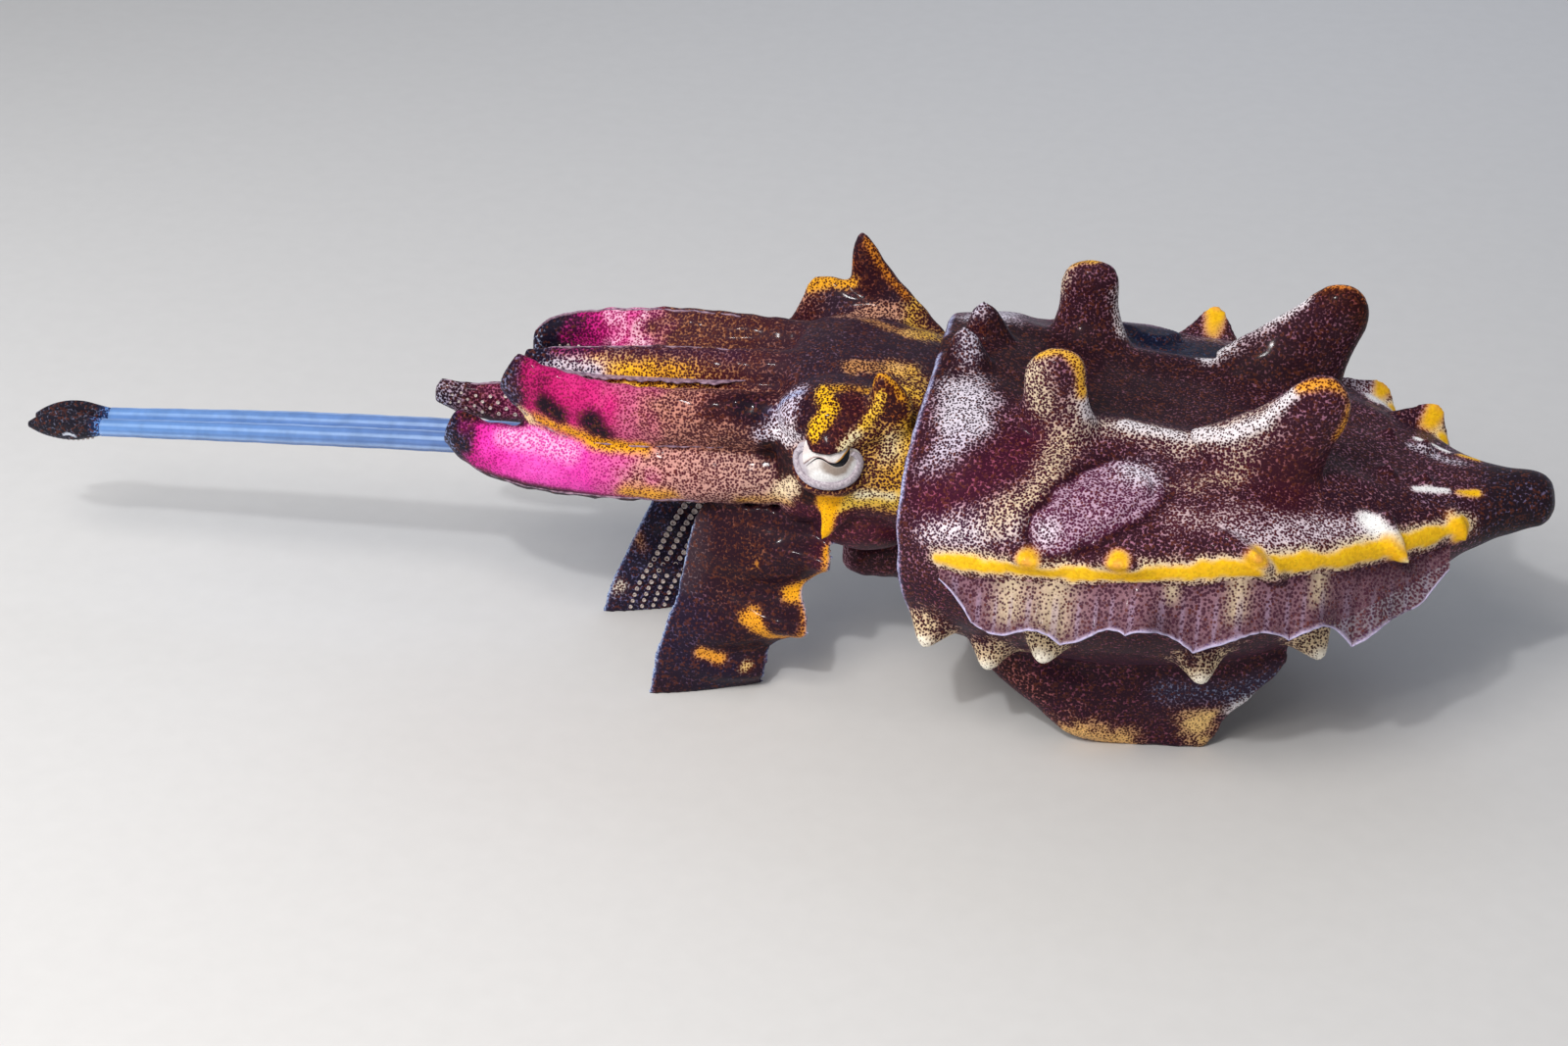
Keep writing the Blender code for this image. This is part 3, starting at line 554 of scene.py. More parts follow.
def noise(tree: NodeTree, scale: float, detail: float) -> NodeSocket:
    """Returns a noise that stays with the piece, with so many waves to the metre."""
    place = add_node(tree, "TexCoord").outputs["Object"]
    return add_node(tree, "TexNoise", {"Vector": place, "Scale": scale, "Detail": detail}).outputs["Fac"]


def mixed(tree: NodeTree, share: NodeSocket, first: object, second: object) -> NodeSocket:
    """Returns the mix of two colours, held between 0 and 1."""
    inputs = {"Factor": share, "A": first, "B": second}
    return add_node(tree, "Mix", inputs, data_type="RGBA", clamp_result=True).outputs[2]


def shaded(tree: NodeTree, colour: NodeSocket, shade: NodeSocket) -> NodeSocket:
    """Returns a colour multiplied by a shade."""
    return add_node(tree, "VectorMath", {0: colour, 1: shade}, operation="MULTIPLY").outputs[0]


def rough(tree: NodeTree, height: NodeSocket, strength: float, depth: float) -> NodeSocket:
    """Returns the normal of a surface roughened by a height, with its depth in mm."""
    inputs = {"Strength": strength, "Distance": depth * MM, "Height": height}
    return add_node(tree, "Bump", inputs).outputs["Normal"]


def new_material(name: str) -> tuple[Material, NodeTree, Node]:
    """Returns a new material with its node tree and its Principled shader."""
    material = bpy.data.materials.new(name)
    material.use_nodes = True
    tree = material.node_tree
    return material, tree, tree.nodes["Principled BSDF"]


@dataclass(frozen=True)
class DottedSkin:
    """Living cuttlefish skin: a clear wet film over pigment sacs, seen as dark dots on a shining pale ground.

    Where the sacs are open they meet, and the ground is left as a fine bright net between them.

    Attributes:
        name: the material's name.
        spacing: distance between dots in mm, drawn a little coarser than life so that it shows.
        roughness: of the wet film.
        sheen: strength of the blue light that the film scatters at its edges.
        relief: height of the grain in mm.
        opacity: 1 for flesh; less for a membrane.
    """

    name: str
    spacing: float = 0.24
    roughness: float = 0.48
    sheen: float = 0.06
    relief: float = 0.045
    opacity: float = 1.0

    def build(self) -> Material:
        """Makes the material."""
        material, tree, shader = new_material(self.name)
        place = add_node(tree, "TexCoord").outputs["Object"]
        pattern = {"Vector": place, "Scale": 1 / (self.spacing * MM), "Randomness": 0.92}
        dots = add_node(tree, "TexVoronoi", pattern, feature="F1")
        grain = noise(tree, 900.0, 1.0)
        cloud = self.about(tree, noise(tree, 260.0, 3.0), 0.14)
        uneven = reckon(tree, "ADD", cloud, self.about(tree, grain, 0.03))
        opened = reckon(tree, "ADD", kept(tree, "cover", "Fac"), uneven)
        radius = reckon(tree, "MULTIPLY_ADD", opened, 0.62, 0.22, clamped=True)
        border = (reckon(tree, "SUBTRACT", radius, 0.14), reckon(tree, "ADD", radius, 0.17))
        dot = fit(tree, dots.outputs["Distance"], border, (1.0, 0.0), "SMOOTHSTEP")
        sacs = add_node(tree, "SeparateColor", {"Color": dots.outputs["Color"]}).outputs
        brown = fit(tree, sacs["Red"], (0.72, 0.97), (0.0, 0.4))
        dark = mixed(tree, brown, kept(tree, "pigment"), rgba("#7a3f22"))
        ground = shaded(tree, kept(tree, "under"), fit(tree, sacs["Green"], (0.0, 1.0), (0.82, 1.12)))
        height = reckon(tree, "MULTIPLY_ADD", dot, -0.5, grain)
        wet = {
            "Base Color": mixed(tree, dot, ground, dark),
            "Normal": rough(tree, height, 0.5, self.relief),
            "Roughness": self.roughness,
            "IOR": 1.38,
            "Specular IOR Level": 0.14,
            "Sheen Weight": self.sheen,
            "Sheen Tint": rgba("#a9bdf2"),
            "Sheen Roughness": 0.35,
            "Coat Weight": 0.1,
            "Coat Roughness": 0.1,
        }
        feed(tree, shader, wet)
        if self.opacity < 1:
            solid = fit(tree, kept(tree, "clear", "Fac"), (0.0, 1.0), (1.0, self.opacity))
            feed(tree, shader, {"Alpha": reckon(tree, "MAXIMUM", solid, dot)})
        return material

    @staticmethod
    def about(tree: NodeTree, value: NodeSocket, span: float) -> NodeSocket:
        """Returns a noise value scaled to the span and centred on 0."""
        return reckon(tree, "MULTIPLY_ADD", value, span, -span / 2)


@dataclass(frozen=True)
class PearlFlesh:
    """Soft, wet white tissue of the eye, coloured at each vertex."""

    name: str = "pearly eye tissue"

    def build(self) -> Material:
        """Makes the material."""
        material, tree, shader = new_material(self.name)
        grain = noise(tree, 5000.0, 3.0)
        soft = {
            "Base Color": shaded(tree, kept(tree, "tint"), fit(tree, grain, (0.3, 0.7), (0.82, 1.05))),
            "Normal": rough(tree, grain, 0.3, 0.03),
            "Roughness": 0.3,
            "Coat Weight": 0.5,
            "Coat Roughness": 0.06,
        }
        feed(tree, shader, soft)
        return material


@dataclass(frozen=True)
class PlainTissue:
    """Wet tissue of one colour with fine grain: pupil, clear ring, suckers, frills and stalks.

    Attributes:
        name: the material's name.
        colour: hex colour of the lighter grain.
        shade: hex colour of the darker grain.
        grain: size of the grain in mm.
        roughness: of its wet surface.
        opacity: 1 for solid flesh, less for clear tissue.
        sheen: strength of the blue light at its edges.
        tinted: True where the piece carries its own colour, which then takes the grain as shade.
    """

    name: str
    colour: str
    shade: str
    grain: float = 0.5
    roughness: float = 0.3
    opacity: float = 1.0
    sheen: float = 0.2
    tinted: bool = False

    def build(self) -> Material:
        """Makes the material."""
        material, tree, shader = new_material(self.name)
        grain = noise(tree, 1 / (self.grain * MM), 2.0)
        if self.tinted:
            colour = shaded(tree, kept(tree, "tint"), fit(tree, grain, (0.3, 0.7), (0.85, 1.1)))
        else:
            share = fit(tree, grain, (0.35, 0.65), (0.0, 1.0))
            colour = mixed(tree, share, rgba(self.shade), rgba(self.colour))
        moist = {
            "Base Color": colour,
            "Normal": rough(tree, grain, 0.3, 0.04),
            "Roughness": self.roughness,
            "Alpha": self.opacity,
            "Sheen Weight": self.sheen,
            "Sheen Tint": rgba("#c3cffa"),
        }
        feed(tree, shader, moist)
        return material


# ---------------------------------------------------------------- mantle


@dataclass(frozen=True)
class Papilla:
    """A soft, flattened cone of skin.

    Attributes:
        sections: from its foot up, each (x, y, z, half length, half thickness), with y from the midline.
        tip: its end point.
        shift: how far the left one stands forward of the place given, and the right one behind it.
        sides: the sides that have it.
    """

    sections: tuple
    tip: tuple
    shift: float = 0.0
    sides: tuple = (LEFT, RIGHT)

    def add(self, bm: BMesh) -> None:
        """Adds the cone on each of its sides."""
        for side in self.sides:
            turn = side.mirror
            slide = np.array((self.shift * side.value, 0.0, 0.0))
            keys = np.array(self.sections)
            lean = unit(np.array(self.tip) - keys[0, :3]) * turn
            first = unit(np.cross(lean, (0.0, 1.0, 0.0) if abs(lean[1]) < 0.9 else (0.0, 0.0, 1.0)))
            second = np.cross(lean, first)
            rows = smooth_curve(keys, 22)
            angles = spokes(28)
            rings = [oval(row[:3] * turn + slide, first * row[3], second * row[4], angles) for row in rows]
            foot = keys[0, :3] * turn + slide - lean
            loft(bm, rings, foot, np.array(self.tip) * turn + slide)


STRIPE = (
    (2.2, -20.6, 23.1), (7, -21.8, 23.5), (11.7, -22.6, 24.3), (17.1, -22.9, 24.6), (22, -22.9, 25.1),
    (28.2, -22, 25.7), (33.4, -20.4, 25.8), (37.8, -17.7, 25.2), (41.3, -15.3, 24.8), (44, -13.2, 24.9),
    (46.6, -10.8, 24.5), (50.7, -7.2, 24.5),
)
RIDGE = (
    (14.4, -11, 36.6), (14.8, -10.7, 34.7), (18.4, -8.3, 32.5), (23.1, -8.4, 32), (27.7, -10.7, 33.5),
    (31.2, -11.4, 35.7), (33.6, -10.9, 38.8),
)
LOBE = ((13.4, -21.2, 27.8), (16.6, -18.7, 29.3), (19.1, -15.8, 30.1))
UPPER_LOBE = ((15.6, -19.4, 28.9), (18.4, -16.6, 29.9))
TOP_OF_LOBE = ((18.2, -16.8, 29.8), LOBE[-1])
MANTLE_MARKS = (
    Mark(((3, -8.4, 34.4), (3.4, -12.2, 33.2)), 2.7, "#ded6e4", "#33202e", 0.36, soft=0.6, fray=0.15),
    Mark(((2.8, -14.6, 31.9), (1.9, -16.4, 30.4)), 1.8, "#d6cade", "#3a2030", 0.46, soft=0.8, fray=0.2),
    Mark(((1.6, -18.4, 28.2), (6.9, -16, 31), (9.5, -12.8, 32.3)), 2.2, "#9a4c66", "#3c1226", 0.88, -0.3,
         soft=0.8),
    Mark(((1.6, -19.9, 25.2), (5.4, -20.9, 26.6), (9.4, -20.9, 28)), 1.6, "#ecdfe8", "#43203a", 0.46, 0.3,
         soft=0.9, fray=0.2),
    Mark(((12.8, -12.2, 32.2), (11.8, -18, 30.2), (7.8, -20.8, 28)), 1.6, "#dcc4a8", "#43182a", 0.5, 0.3,
         soft=0.9),
    Mark(LOBE, 3.2, "#6a3048", "#220813", 0.97, -0.4, soft=0.2, fray=0.04),
    Mark(UPPER_LOBE, 4.1, "#6a3048", "#220813", 0.97, soft=0.2, fray=0.04),
    Mark(TOP_OF_LOBE, 4.4, "#6a3048", "#220813", 0.97, -0.3, soft=0.2, fray=0.04),
    Mark(LOBE, 2.5, "#c2a0b8", "#54203e", 0.54, 0.6, soft=0.16, fray=0.04),
    Mark(UPPER_LOBE, 3.3, "#c2a0b8", "#54203e", 0.54, 0.3, soft=0.14, fray=0.04),
    Mark(TOP_OF_LOBE, 3.6, "#c2a0b8", "#54203e", 0.54, 0.4, soft=0.13, fray=0.04),
    Mark(((20.2, -14, 30.6),), 2, "#eee4f2", "#4a2a3c", 0.4, soft=0.9),
    Mark(((12.6, -21.5, 27.5),), 1.1, "#e8d8e8", "#4a2a3c", 0.46, soft=0.9),
    Mark(((24.6, -18.9, 28.9), (29.8, -17.6, 29.3)), 1.8, "#ccb0b4", "#4a1c2c", 0.64, soft=0.9, fray=0.35),
    Mark(((25, -13.9, 31), (29.5, -12.8, 31.4)), 1.5, "#cdb29c", "#47182a", 0.64, soft=0.9, fray=0.4),
    Mark(((31, -19, 27.8), (36, -16.6, 27.9), (40.2, -13.4, 27.4)), 1.8, "#e6d6e2", "#4a1c2e", 0.5,
         soft=0.8, fray=0.3),
    Mark(((34.4, -12.6, 31),), 3.2, "#9a5a5c", "#3c1624", 0.9, soft=0.6),
    Mark(((38.6, -11.6, 28.4), (43.5, -9.2, 26.6), (47.5, -6.6, 25.6)), 1.8, "#a87484", "#2c1220", 0.88,
         soft=0.6),
    # Painted highlight: a white streak on the ridge of the rear stripe papilla.
    Mark(((41.5, -12.4, 27), (42.9, -13.2, 26.2), (44.4, -13.4, 25.5)), 1.15, "#ffffff", "#6a5a64", -0.1,
         0.1, soft=0.45),
    Mark(RIDGE[:-1], 1.9, "#d8c2b4", "#43182a", 0.6, soft=0.7, side=LEFT, fray=0.2),
    Mark(RIDGE, 0.8, "#efe8ee", "#3a2028", 0.3, 0.25, soft=0.6, side=LEFT),
    Mark(((33.8, 10.6, 38), (31.6, 10.4, 35.4), (29.6, 9.4, 33.2), (25, 8.4, 31.9)), 1.3, "#f0ebf0",
         "#3a2028", 0.28, 0.2, soft=0.6, side=RIGHT),
    Mark(((14.9, 9.9, 37.6), (15.2, 9.6, 35), (15.8, 9, 33.6)), 1, "#efe8ea", "#3a2028", 0.34, soft=0.6,
         side=RIGHT),
    Mark(((9.6, -10.6, 39), (10.4, -11.6, 35.6)), 1.7, "#e2cdb0", "#43182a", 0.52, soft=0.8),
    Mark(((10, -10.2, 40.2), (12.2, -10.1, 41), (13.8, -10.8, 39.4), (14.2, -11, 36.8)), 0.7, "#f0b640",
         "#5a2410", 0.36, soft=0.6),
    Mark(((34.4, -10.6, 39.2), (36.2, -10.8, 40), (38.2, -10.8, 39.9), (39.3, -10.8, 38.4),
         (39, -10.9, 36.6), (38.2, -11, 34.4)), 0.65, "#f0a438", "#5a220c", 0.42, soft=0.6),
    Mark(((36.6, 10.1, 39.4), (39, 10.1, 38.8), (39.6, 10, 37)), 1.7, "#7a3420", "#2a0c0c", 0.86, soft=0.7,
         side=RIGHT),
    Mark(((35.8, 10.1, 40), (38.6, 10.1, 40.4), (40.8, 10.1, 38.4), (40.6, 10, 36.4)), 0.6, "#d9812a",
         "#4a1a0c", 0.4, soft=0.6, side=RIGHT),
    Mark(((2.5, -3, 38), (2.7, -4.3, 36.6)), 1.2, "#cfc6d8", "#3a2434", 0.56, soft=0.8),
    # Dark navy skin on the far slope, with its paler bluish ground a painted sheen.
    Mark(((21, 12.8, 30.5), (30, 12.6, 29.4), (14, 14, 31)), 4, "#3c4a6e", "#10142c", 0.92, soft=0.6,
         side=RIGHT),
    # Painted highlight: a soft pale line along the far side of the tail's ridge.
    Mark(((45.3, 3, 26.9), (50, 1.6, 26.4)), 0.7, "#d2c9d8", "#3a2633", 0.5, soft=0.8, side=RIGHT),
    # Painted highlight: a crisp white streak along the tail.
    Mark(((45.9, -5, 26.6), (48.7, -4, 26.1)), 0.5, "#ffffff", "#6a5a64", -0.1, 0.12, soft=0.5),
    Mark(((50.1, -3.8, 25.9), (51.7, -3.3, 25.8)), 0.5, "#f8bf18", "#8a4a10", -0.1, 0.12, soft=0.5),
    Mark(((46, -6.4, 25.8), (50, -4.8, 25.2)), 0.9, "#a884a0", "#2c1220", 0.8, soft=0.8),
    Mark(STRIPE, 1.3, "#f6e2b8", "#4a2420", 0.32, soft=0.6, fray=0.2),
    Mark(STRIPE, 0.8, "#ffc61e", "#d8780c", -0.4, 0.14, soft=0.3, fray=0.2),
    Mark(((43.6, -12.8, 25.1), (46, -14.1, 23.2)), 1.15, "#ffc01a", "#d8780c", -0.4, soft=0.4, side=LEFT),
    Mark(((49.2, -6.8, 24.4), (51.4, -8.2, 22.9)), 1, "#ffc01a", "#d8780c", -0.4, soft=0.4, side=LEFT),
    Mark(((45.6, -13.9, 23.5),), 0.6, "#ffe9b0", "#d8780c", -0.4, soft=0.8, side=LEFT),
)
FLAP_MARKS = (
    Mark(((16, -14.4, 1.4), (19.6, -14.4, 0.6)), 2.2, "#f4c27a", "#4a1c14", 0.22, soft=0.8, fray=0.35),
    Mark(((28.2, -14, 0.8), (27.6, -14.4, 3.4)), 1.8, "#f7cd84", "#4a1c14", 0.16, soft=0.8, fray=0.35),
    Mark(((32.2, -13.4, 6.6), (31, -13.6, 4.6)), 1.1, "#f7f2f4", "#4a3038", 0.15, soft=0.7),
    # Painted sheen: a bluish band on the flap's rear part, where its edge rolls outward.
    Mark(((24, -15.2, 7.4), (30.6, -14.2, 7.2), (34.6, -13, 9)), 1.3, "#7d86a8", "#33243a", 0.78, -0.3,
         soft=0.9),
)


@dataclass
class Mantle:
    """The mantle, tail and walking flaps: one thick skin that is open at the front around the neck."""

    stations: tuple = (-2.0, 4.0, 11.0, 22.0, 33.4, 40.0, 46.0, 52.0, 56.0, 59.2)
    half_width: tuple = (18.6, 20.9, 22.5, 23.0, 20.2, 16.3, 11.4, 5.9, 3.4, 2.5)
    top: tuple = (35.3, 35.0, 33.2, 31.2, 30.3, 28.5, 26.8, 26.2, 26.6, 26.4)
    flank_height: tuple = (21.8, 23.0, 23.9, 25.3, 25.6, 24.8, 23.8, 23.2, 23.7, 24.3)
    belly: tuple = (7.6, 7.2, 6.4, 6.2, 8.4, 11.8, 15.6, 19.4, 20.9, 22.1)
    roundness: float = 0.92
    rim_wall: float = 1.3
    neck_end: float = 3.2
    rim_fade: float = 9.0
    rim_crest_pull: float = 1.3
    rim_side_pull: float = 1.4
    rim_belly_push: float = 3.4
    ridge_y: float = 7.8
    ridge_rise: float = 1.1
    ridge_half: float = 2.0
    ridge_start: float = 2.0
    ridge_length: float = 44.0
    last_ring: float = 57.3
    flap_levels: tuple = (0.0, 1.6, 3.4, 6.9, 10.0, 14.0)
    flap_front: tuple = (15.8, 13.9, 11.9, 6.8, 4.8, 5.4)
    flap_rear: tuple = (28.4, 29.4, 30.0, 33.0, 35.4, 34.6)
    flap_y: tuple = (13.0, 13.4, 13.6, 13.6, 12.6, 10.6)
    flap_half: tuple = (0.9, 1.0, 1.2, 1.8, 2.4, 3.2)
    papillae: tuple = (
        Papilla(
            (
                (12.4, 8.6, 30.2, 6.4, 4.4), (12.3, 9.2, 32.6, 4.2, 3.1), (12.2, 9.7, 34.6, 3.3, 2.2),
                (12.1, 10, 36.6, 2.95, 1.85), (12.15, 10.1, 38.6, 2.85, 1.75),
                (12.3, 10.2, 39.9, 2.2, 1.35), (12.4, 10.2, 40.4, 1.2, 0.8),
            ),
            (12.4, 10.2, 40.6), 0.55,
        ),
        Papilla(
            (
                (31.4, 8.6, 28.6, 7.4, 3.9), (32.6, 9.2, 31, 5.8, 3), (34, 9.7, 33.4, 4.4, 2.3),
                (35.5, 9.9, 35.4, 3.6, 2), (36.7, 10, 37.2, 3.15, 1.85), (37.5, 10.1, 38.7, 2.45, 1.5),
                (38, 10.1, 39.6, 1.3, 0.9),
            ),
            (38.2, 10.1, 40), 0.55,
        ),
        Papilla(
            (
                (3.2, 3.1, 32.6, 3.6, 2.4), (2.9, 3.1, 34.6, 2.6, 1.8), (2.7, 3.1, 36.2, 1.9, 1.4),
                (2.5, 3.1, 37.6, 1.3, 1),
            ),
            (2.4, 3.1, 38.8), 0.55,
        ),
        Papilla(
            (
                (42.2, 11.4, 26, 2.3, 1.4), (43.2, 12.4, 25.3, 1.8, 1.1), (44.1, 13.1, 24.6, 1.3, 0.85),
                (45, 13.6, 24, 0.8, 0.6),
            ),
            (46, 14.1, 23.2), sides=(LEFT,),
        ),
        Papilla(
            ((48.6, 6.2, 24.7, 1.7, 1.1), (49.5, 7, 24.2, 1.3, 0.9), (50.4, 7.6, 23.6, 0.8, 0.6)),
            (51.4, 8.2, 22.9), sides=(LEFT,),
        ),
    )
    stripe_papillae: dict = field(
        default_factory=lambda: {
            LEFT: ((11.2, 6, 1.2), (19.4, 7, 1.4), (31.4, 9, 1.9)),
            RIGHT: ((12.0, 6, 1.4), (24.4, 12, 4.0), (33.6, 11, 1.6), (41.4, 18, 1.9), (46.4, 28, 2.9)),
        }
    )
    belly_papillae: tuple = ((1.2, -33.0), (7.4, -43.0), (13.0, -27.0), (27.2, -38.0), (37.2, -42.0))
    belly_papilla_height: float = 2.6
    stripe_half: tuple = (2.7, 0.8)
    belly_half: tuple = (1.9, 1.5)
    back_half: tuple = (0.8, 0.7)
    back_papillae: tuple = ((43.0, 3.4, 1.0), (46.6, 3.0, 1.1))
    cone: tuple = (
        (-0.4, 1.6), (-0.05, 1.4), (0.25, 1.06), (0.55, 0.76), (0.8, 0.54), (1, 0.32), (1.08, 0.14),
    )
    around: int = 128
    along: int = 120
    voxel: float = 0.345
    smoothing: int = 9

    def ring(self, x: float, around: int, grow: float = 0.0) -> Array:
        """Returns the mantle's section at a station.

        Args:
            x: the station.
            around: points in the ring, counted up from the right side.
            grow: how far outside the mantle's own surface it lies.

        Returns:
            The ring's points.
        """
        lines = (self.half_width, self.top, self.flank_height, self.belly)
        width, top, side, belly = (measure(self.stations, line, x) for line in lines)
        width += grow
        angles = spokes(around)
        cosine, sine = np.cos(angles), np.sin(angles)
        reach = np.where(sine > 0, top - side, side - belly)
        y = width * flattened(cosine, self.roundness)
        z = side + (reach + grow) * flattened(sine, self.roundness)
        up = (z - side) / reach
        fade = max(0.0, 1.0 - (x - self.stations[0]) / self.rim_fade) ** 2
        swell = math.sin(math.pi * min(1.0, max(0.0, (x - self.ridge_start) / self.ridge_length)))
        crest = self.ridge_rise * swell * np.exp(-(((np.abs(y) - self.ridge_y) / self.ridge_half) ** 2))
        pull = self.rim_crest_pull * up**2 - self.rim_side_pull * up * (1 - up)
        bend = np.where(up > 0, pull, self.rim_belly_push * up**2) * fade
        return np.stack([x + bend, y, z + np.where(up > 0, crest, 0.0)], axis=1)

    def surface(self, x: float, degrees: float, side: Side) -> tuple[Array, Array]:
        """Returns a point of the surface and its outward direction, an angle above the side."""
        count = 720
        number = round(degrees * 2) % count
        ring, ahead = self.ring(x, count), self.ring(x + 0.5, count)
        across = ring[(number + 4) % count] - ring[number - 4]
        normal = unit(np.cross(across, ahead[number] - ring[number]))
        if normal @ (ring[number] - (x, 0.0, 22.0)) < 0:
            normal = -normal
        return ring[number] * side.mirror, normal * side.mirror

    def add_body(self, bm: BMesh) -> None:
        """Adds the main body, with the hollow around the neck at its front."""
        front = self.stations[0]
        recess = self.ring(front, self.around, -self.rim_wall) * (0, 1, 1) + (self.neck_end, 0, 0)
        lip = self.ring(front + 0.3, self.around, -0.95 * self.rim_wall)
        edge = self.ring(front - 0.05, self.around, -0.5 * self.rim_wall)
        share = np.linspace(0.0, 1.0, self.along)
        places = front + 0.4 + (self.last_ring - front - 0.4) * share
        rings = [recess, lip, edge] + [self.ring(x, self.around) for x in places]
        heart = np.mean(rings[-1], axis=0)
        for reach, size in ((0.9, 0.9), (1.6, 0.66), (1.95, 0.34)):
            rings.append(heart + (rings[len(places) + 2] - heart) * size + (reach, 0, 0))
        loft(bm, rings, (self.neck_end, 0, 22.0), heart + (2.1, 0, 0))

    def add_flap(self, bm: BMesh, side: Side) -> None:
        """Adds one walking flap, which hangs from the belly, swings out and ends in a flat on the floor."""
        rows = np.linspace(0.0, 1.0, 26)
        levels = hermite(np.linspace(0, 1, len(self.flap_levels)), self.flap_levels, rows)
        front, rear, middle, half = (
            hermite(self.flap_levels, values, levels)
            for values in (self.flap_front, self.flap_rear, self.flap_y, self.flap_half)
        )
        rings = []
        angles = spokes(64)
        for low, ahead, behind, y, thick in zip(levels, front, rear, middle, half):
            centre = np.array(((ahead + behind) / 2, side.value * y, low))
            reach = np.array(((behind - ahead) / 2, 0.0, 0.0))
            ring = oval(centre, reach, np.array((0.0, thick, 0.0)), angles)
            hang = smoothstep(14.0, 3.0, low)
            wave = np.sin((ring[:, 0] - 8.0) / 4.6) * 0.9 + np.sin(ring[:, 0] / 2.1 + low / 3) * 0.3
            ring[:, 1] += side.value * wave * hang * (0.4 + 0.6 * smoothstep(0.0, 1.5, low))
            rings.append(ring)
        loft(bm, rings)

    def add_small_papilla(
        self, bm: BMesh, x: float, degrees: float, side: Side, half: tuple, height: float
    ) -> None:
        """Adds one small soft cone square to the surface.

        Args:
            bm: the bmesh that takes it.
            x: its station.
            degrees: its angle above the side.
            side: its side.
            half: its half length and half width at the foot.
            height: its height.
        """
        root, normal = self.surface(x, degrees, side)
        sections = []
        for share, size in self.cone:
            place = (root + normal * share * height) * side.mirror
            sections.append((*place, half[0] * size, half[1] * size))
        tip = (root + normal * height * 1.12) * side.mirror
        Papilla(tuple(sections), tuple(tip), sides=(side,)).add(bm)

    def small_papillae(self) -> list[tuple]:
        """Lists the stripe, belly and back papillae as (x, degrees, side, half sizes, height)."""
        cones = []
        for side in Side:
            for x, degrees, height in self.stripe_papillae[side]:
                cones.append((x, degrees, side, self.stripe_half, height))
            for x, degrees in self.belly_papillae:
                cones.append((x, degrees, side, self.belly_half, self.belly_papilla_height))
            for x, y, height in self.back_papillae:
                degrees = math.degrees(math.acos(y / measure(self.stations, self.half_width, x)))
                cones.append((x, degrees, side, self.back_half, height))
        return cones

    def build(self, skin: Material) -> None:
        """Builds and dresses the skin, in place of the mantle's, tail's and flaps' solids."""
        bm = bmesh.new()
        self.add_body(bm)
        for papilla in self.papillae:
            papilla.add(bm)
        for cone in self.small_papillae():
            self.add_small_papilla(bm, *cone)
        for side in Side:
            self.add_flap(bm, side)
        obj = melted("mantle_skin", bm, self.voxel, self.smoothing)
        points, normals = vertex_data(obj.data)
        paint = Paint(points)
        self.ground(paint)
        paint.apply(self.marks())
        paint.lift += 0.05 * ripple(points, 3.2, 11) * smoothstep(2.0, 4.0, points[:, 2])
        paint.keep(obj.data, normals)
        finish_piece(obj, skin, ("mantle", "tail_tip", "flap_left", "flap_right"))

    def ground(self, paint: Paint) -> None:
        """Lays the mantle's maroon ground, greyer on the back and darker under the fins, with painted shade
        in the recess round the neck.
        """
        x, y, z = paint.points.T
        paint.blend(1.0, "#a36e86", "#331622", 0.81)
        back = smoothstep(29.0, 32.0, z) * smoothstep(10.0, 6.0, np.abs(y))
        paint.blend(back, "#6e4450", "#26121a", 0.9)
        under = smoothstep(21.5, 18.5, z) * smoothstep(46.0, 40.0, x)
        paint.blend(under, "#8c4a62", "#2e1222", 0.88)
        tail = smoothstep(50.0, 54.0, x)
        paint.blend(tail, "#6a5f80", "#21161f", 0.93)
        # Painted shade: the recess round the neck inside the mantle's front opening is painted darker.
        hollow = smoothstep(1.0, 2.0, x) * smoothstep(19.2, 17.6, np.abs(y))
        hollow = hollow * smoothstep(3.6, 3.3, x)
        paint.blend(hollow, "#8a5a5e", "#2a0f1a", 0.9)

    def marks(self) -> list[Mark]:
        """Returns the mantle's pattern, from its broad patches to its fine lines, among them painted
        highlights, sheen and rim light.
        """
        marks = list(MANTLE_MARKS)
        for side in Side:
            for x, degrees, height in self.stripe_papillae[side]:
                root, normal = self.surface(x, degrees, side)
                foot, tip = tuple(root), tuple(root + normal * height)
                marks.append(Mark((foot, tip), 1.1, "#ffc21c", "#c86a0c", -0.4, side=side, soft=0.4))
                marks.append(Mark((tip,), 0.5, "#f7b04a", "#a84c08", -0.4, side=side, soft=0.8))
        for x, degrees in self.belly_papillae:
            root, normal = self.surface(x, degrees, LEFT)
            tip = tuple(root + normal * self.belly_papilla_height)
            marks.append(Mark((tuple(root), tip), 2.3, "#e8cfa8", "#3a1620", 0.44, soft=0.6, fray=0.35))
            marks.append(Mark((tip,), 1.1, "#fbf3e2", "#5a3a34", 0.08, soft=0.6))
        marks += FLAP_MARKS
        for height in (4.0, 8.0):
            path = ((9.0, -14.8, height), (12.0, -15.2, height - 2))
            marks.append(Mark(path, 1.3, "#b06a66", "#2c0e18", 0.78, soft=0.9))
        # Painted rim light: a thin pale blue line along the mantle's front edge, where the clear skin catches
        # light.
        rim = tuple((x, y, z) for x, y, z in self.ring(self.stations[0], 64) if y <= 0)
        marks.append(Mark(rim, 0.42, "#b4bfe6", "#6c6a94", 0.2, soft=0.5))
        return marks


# ---------------------------------------------------------------- arms


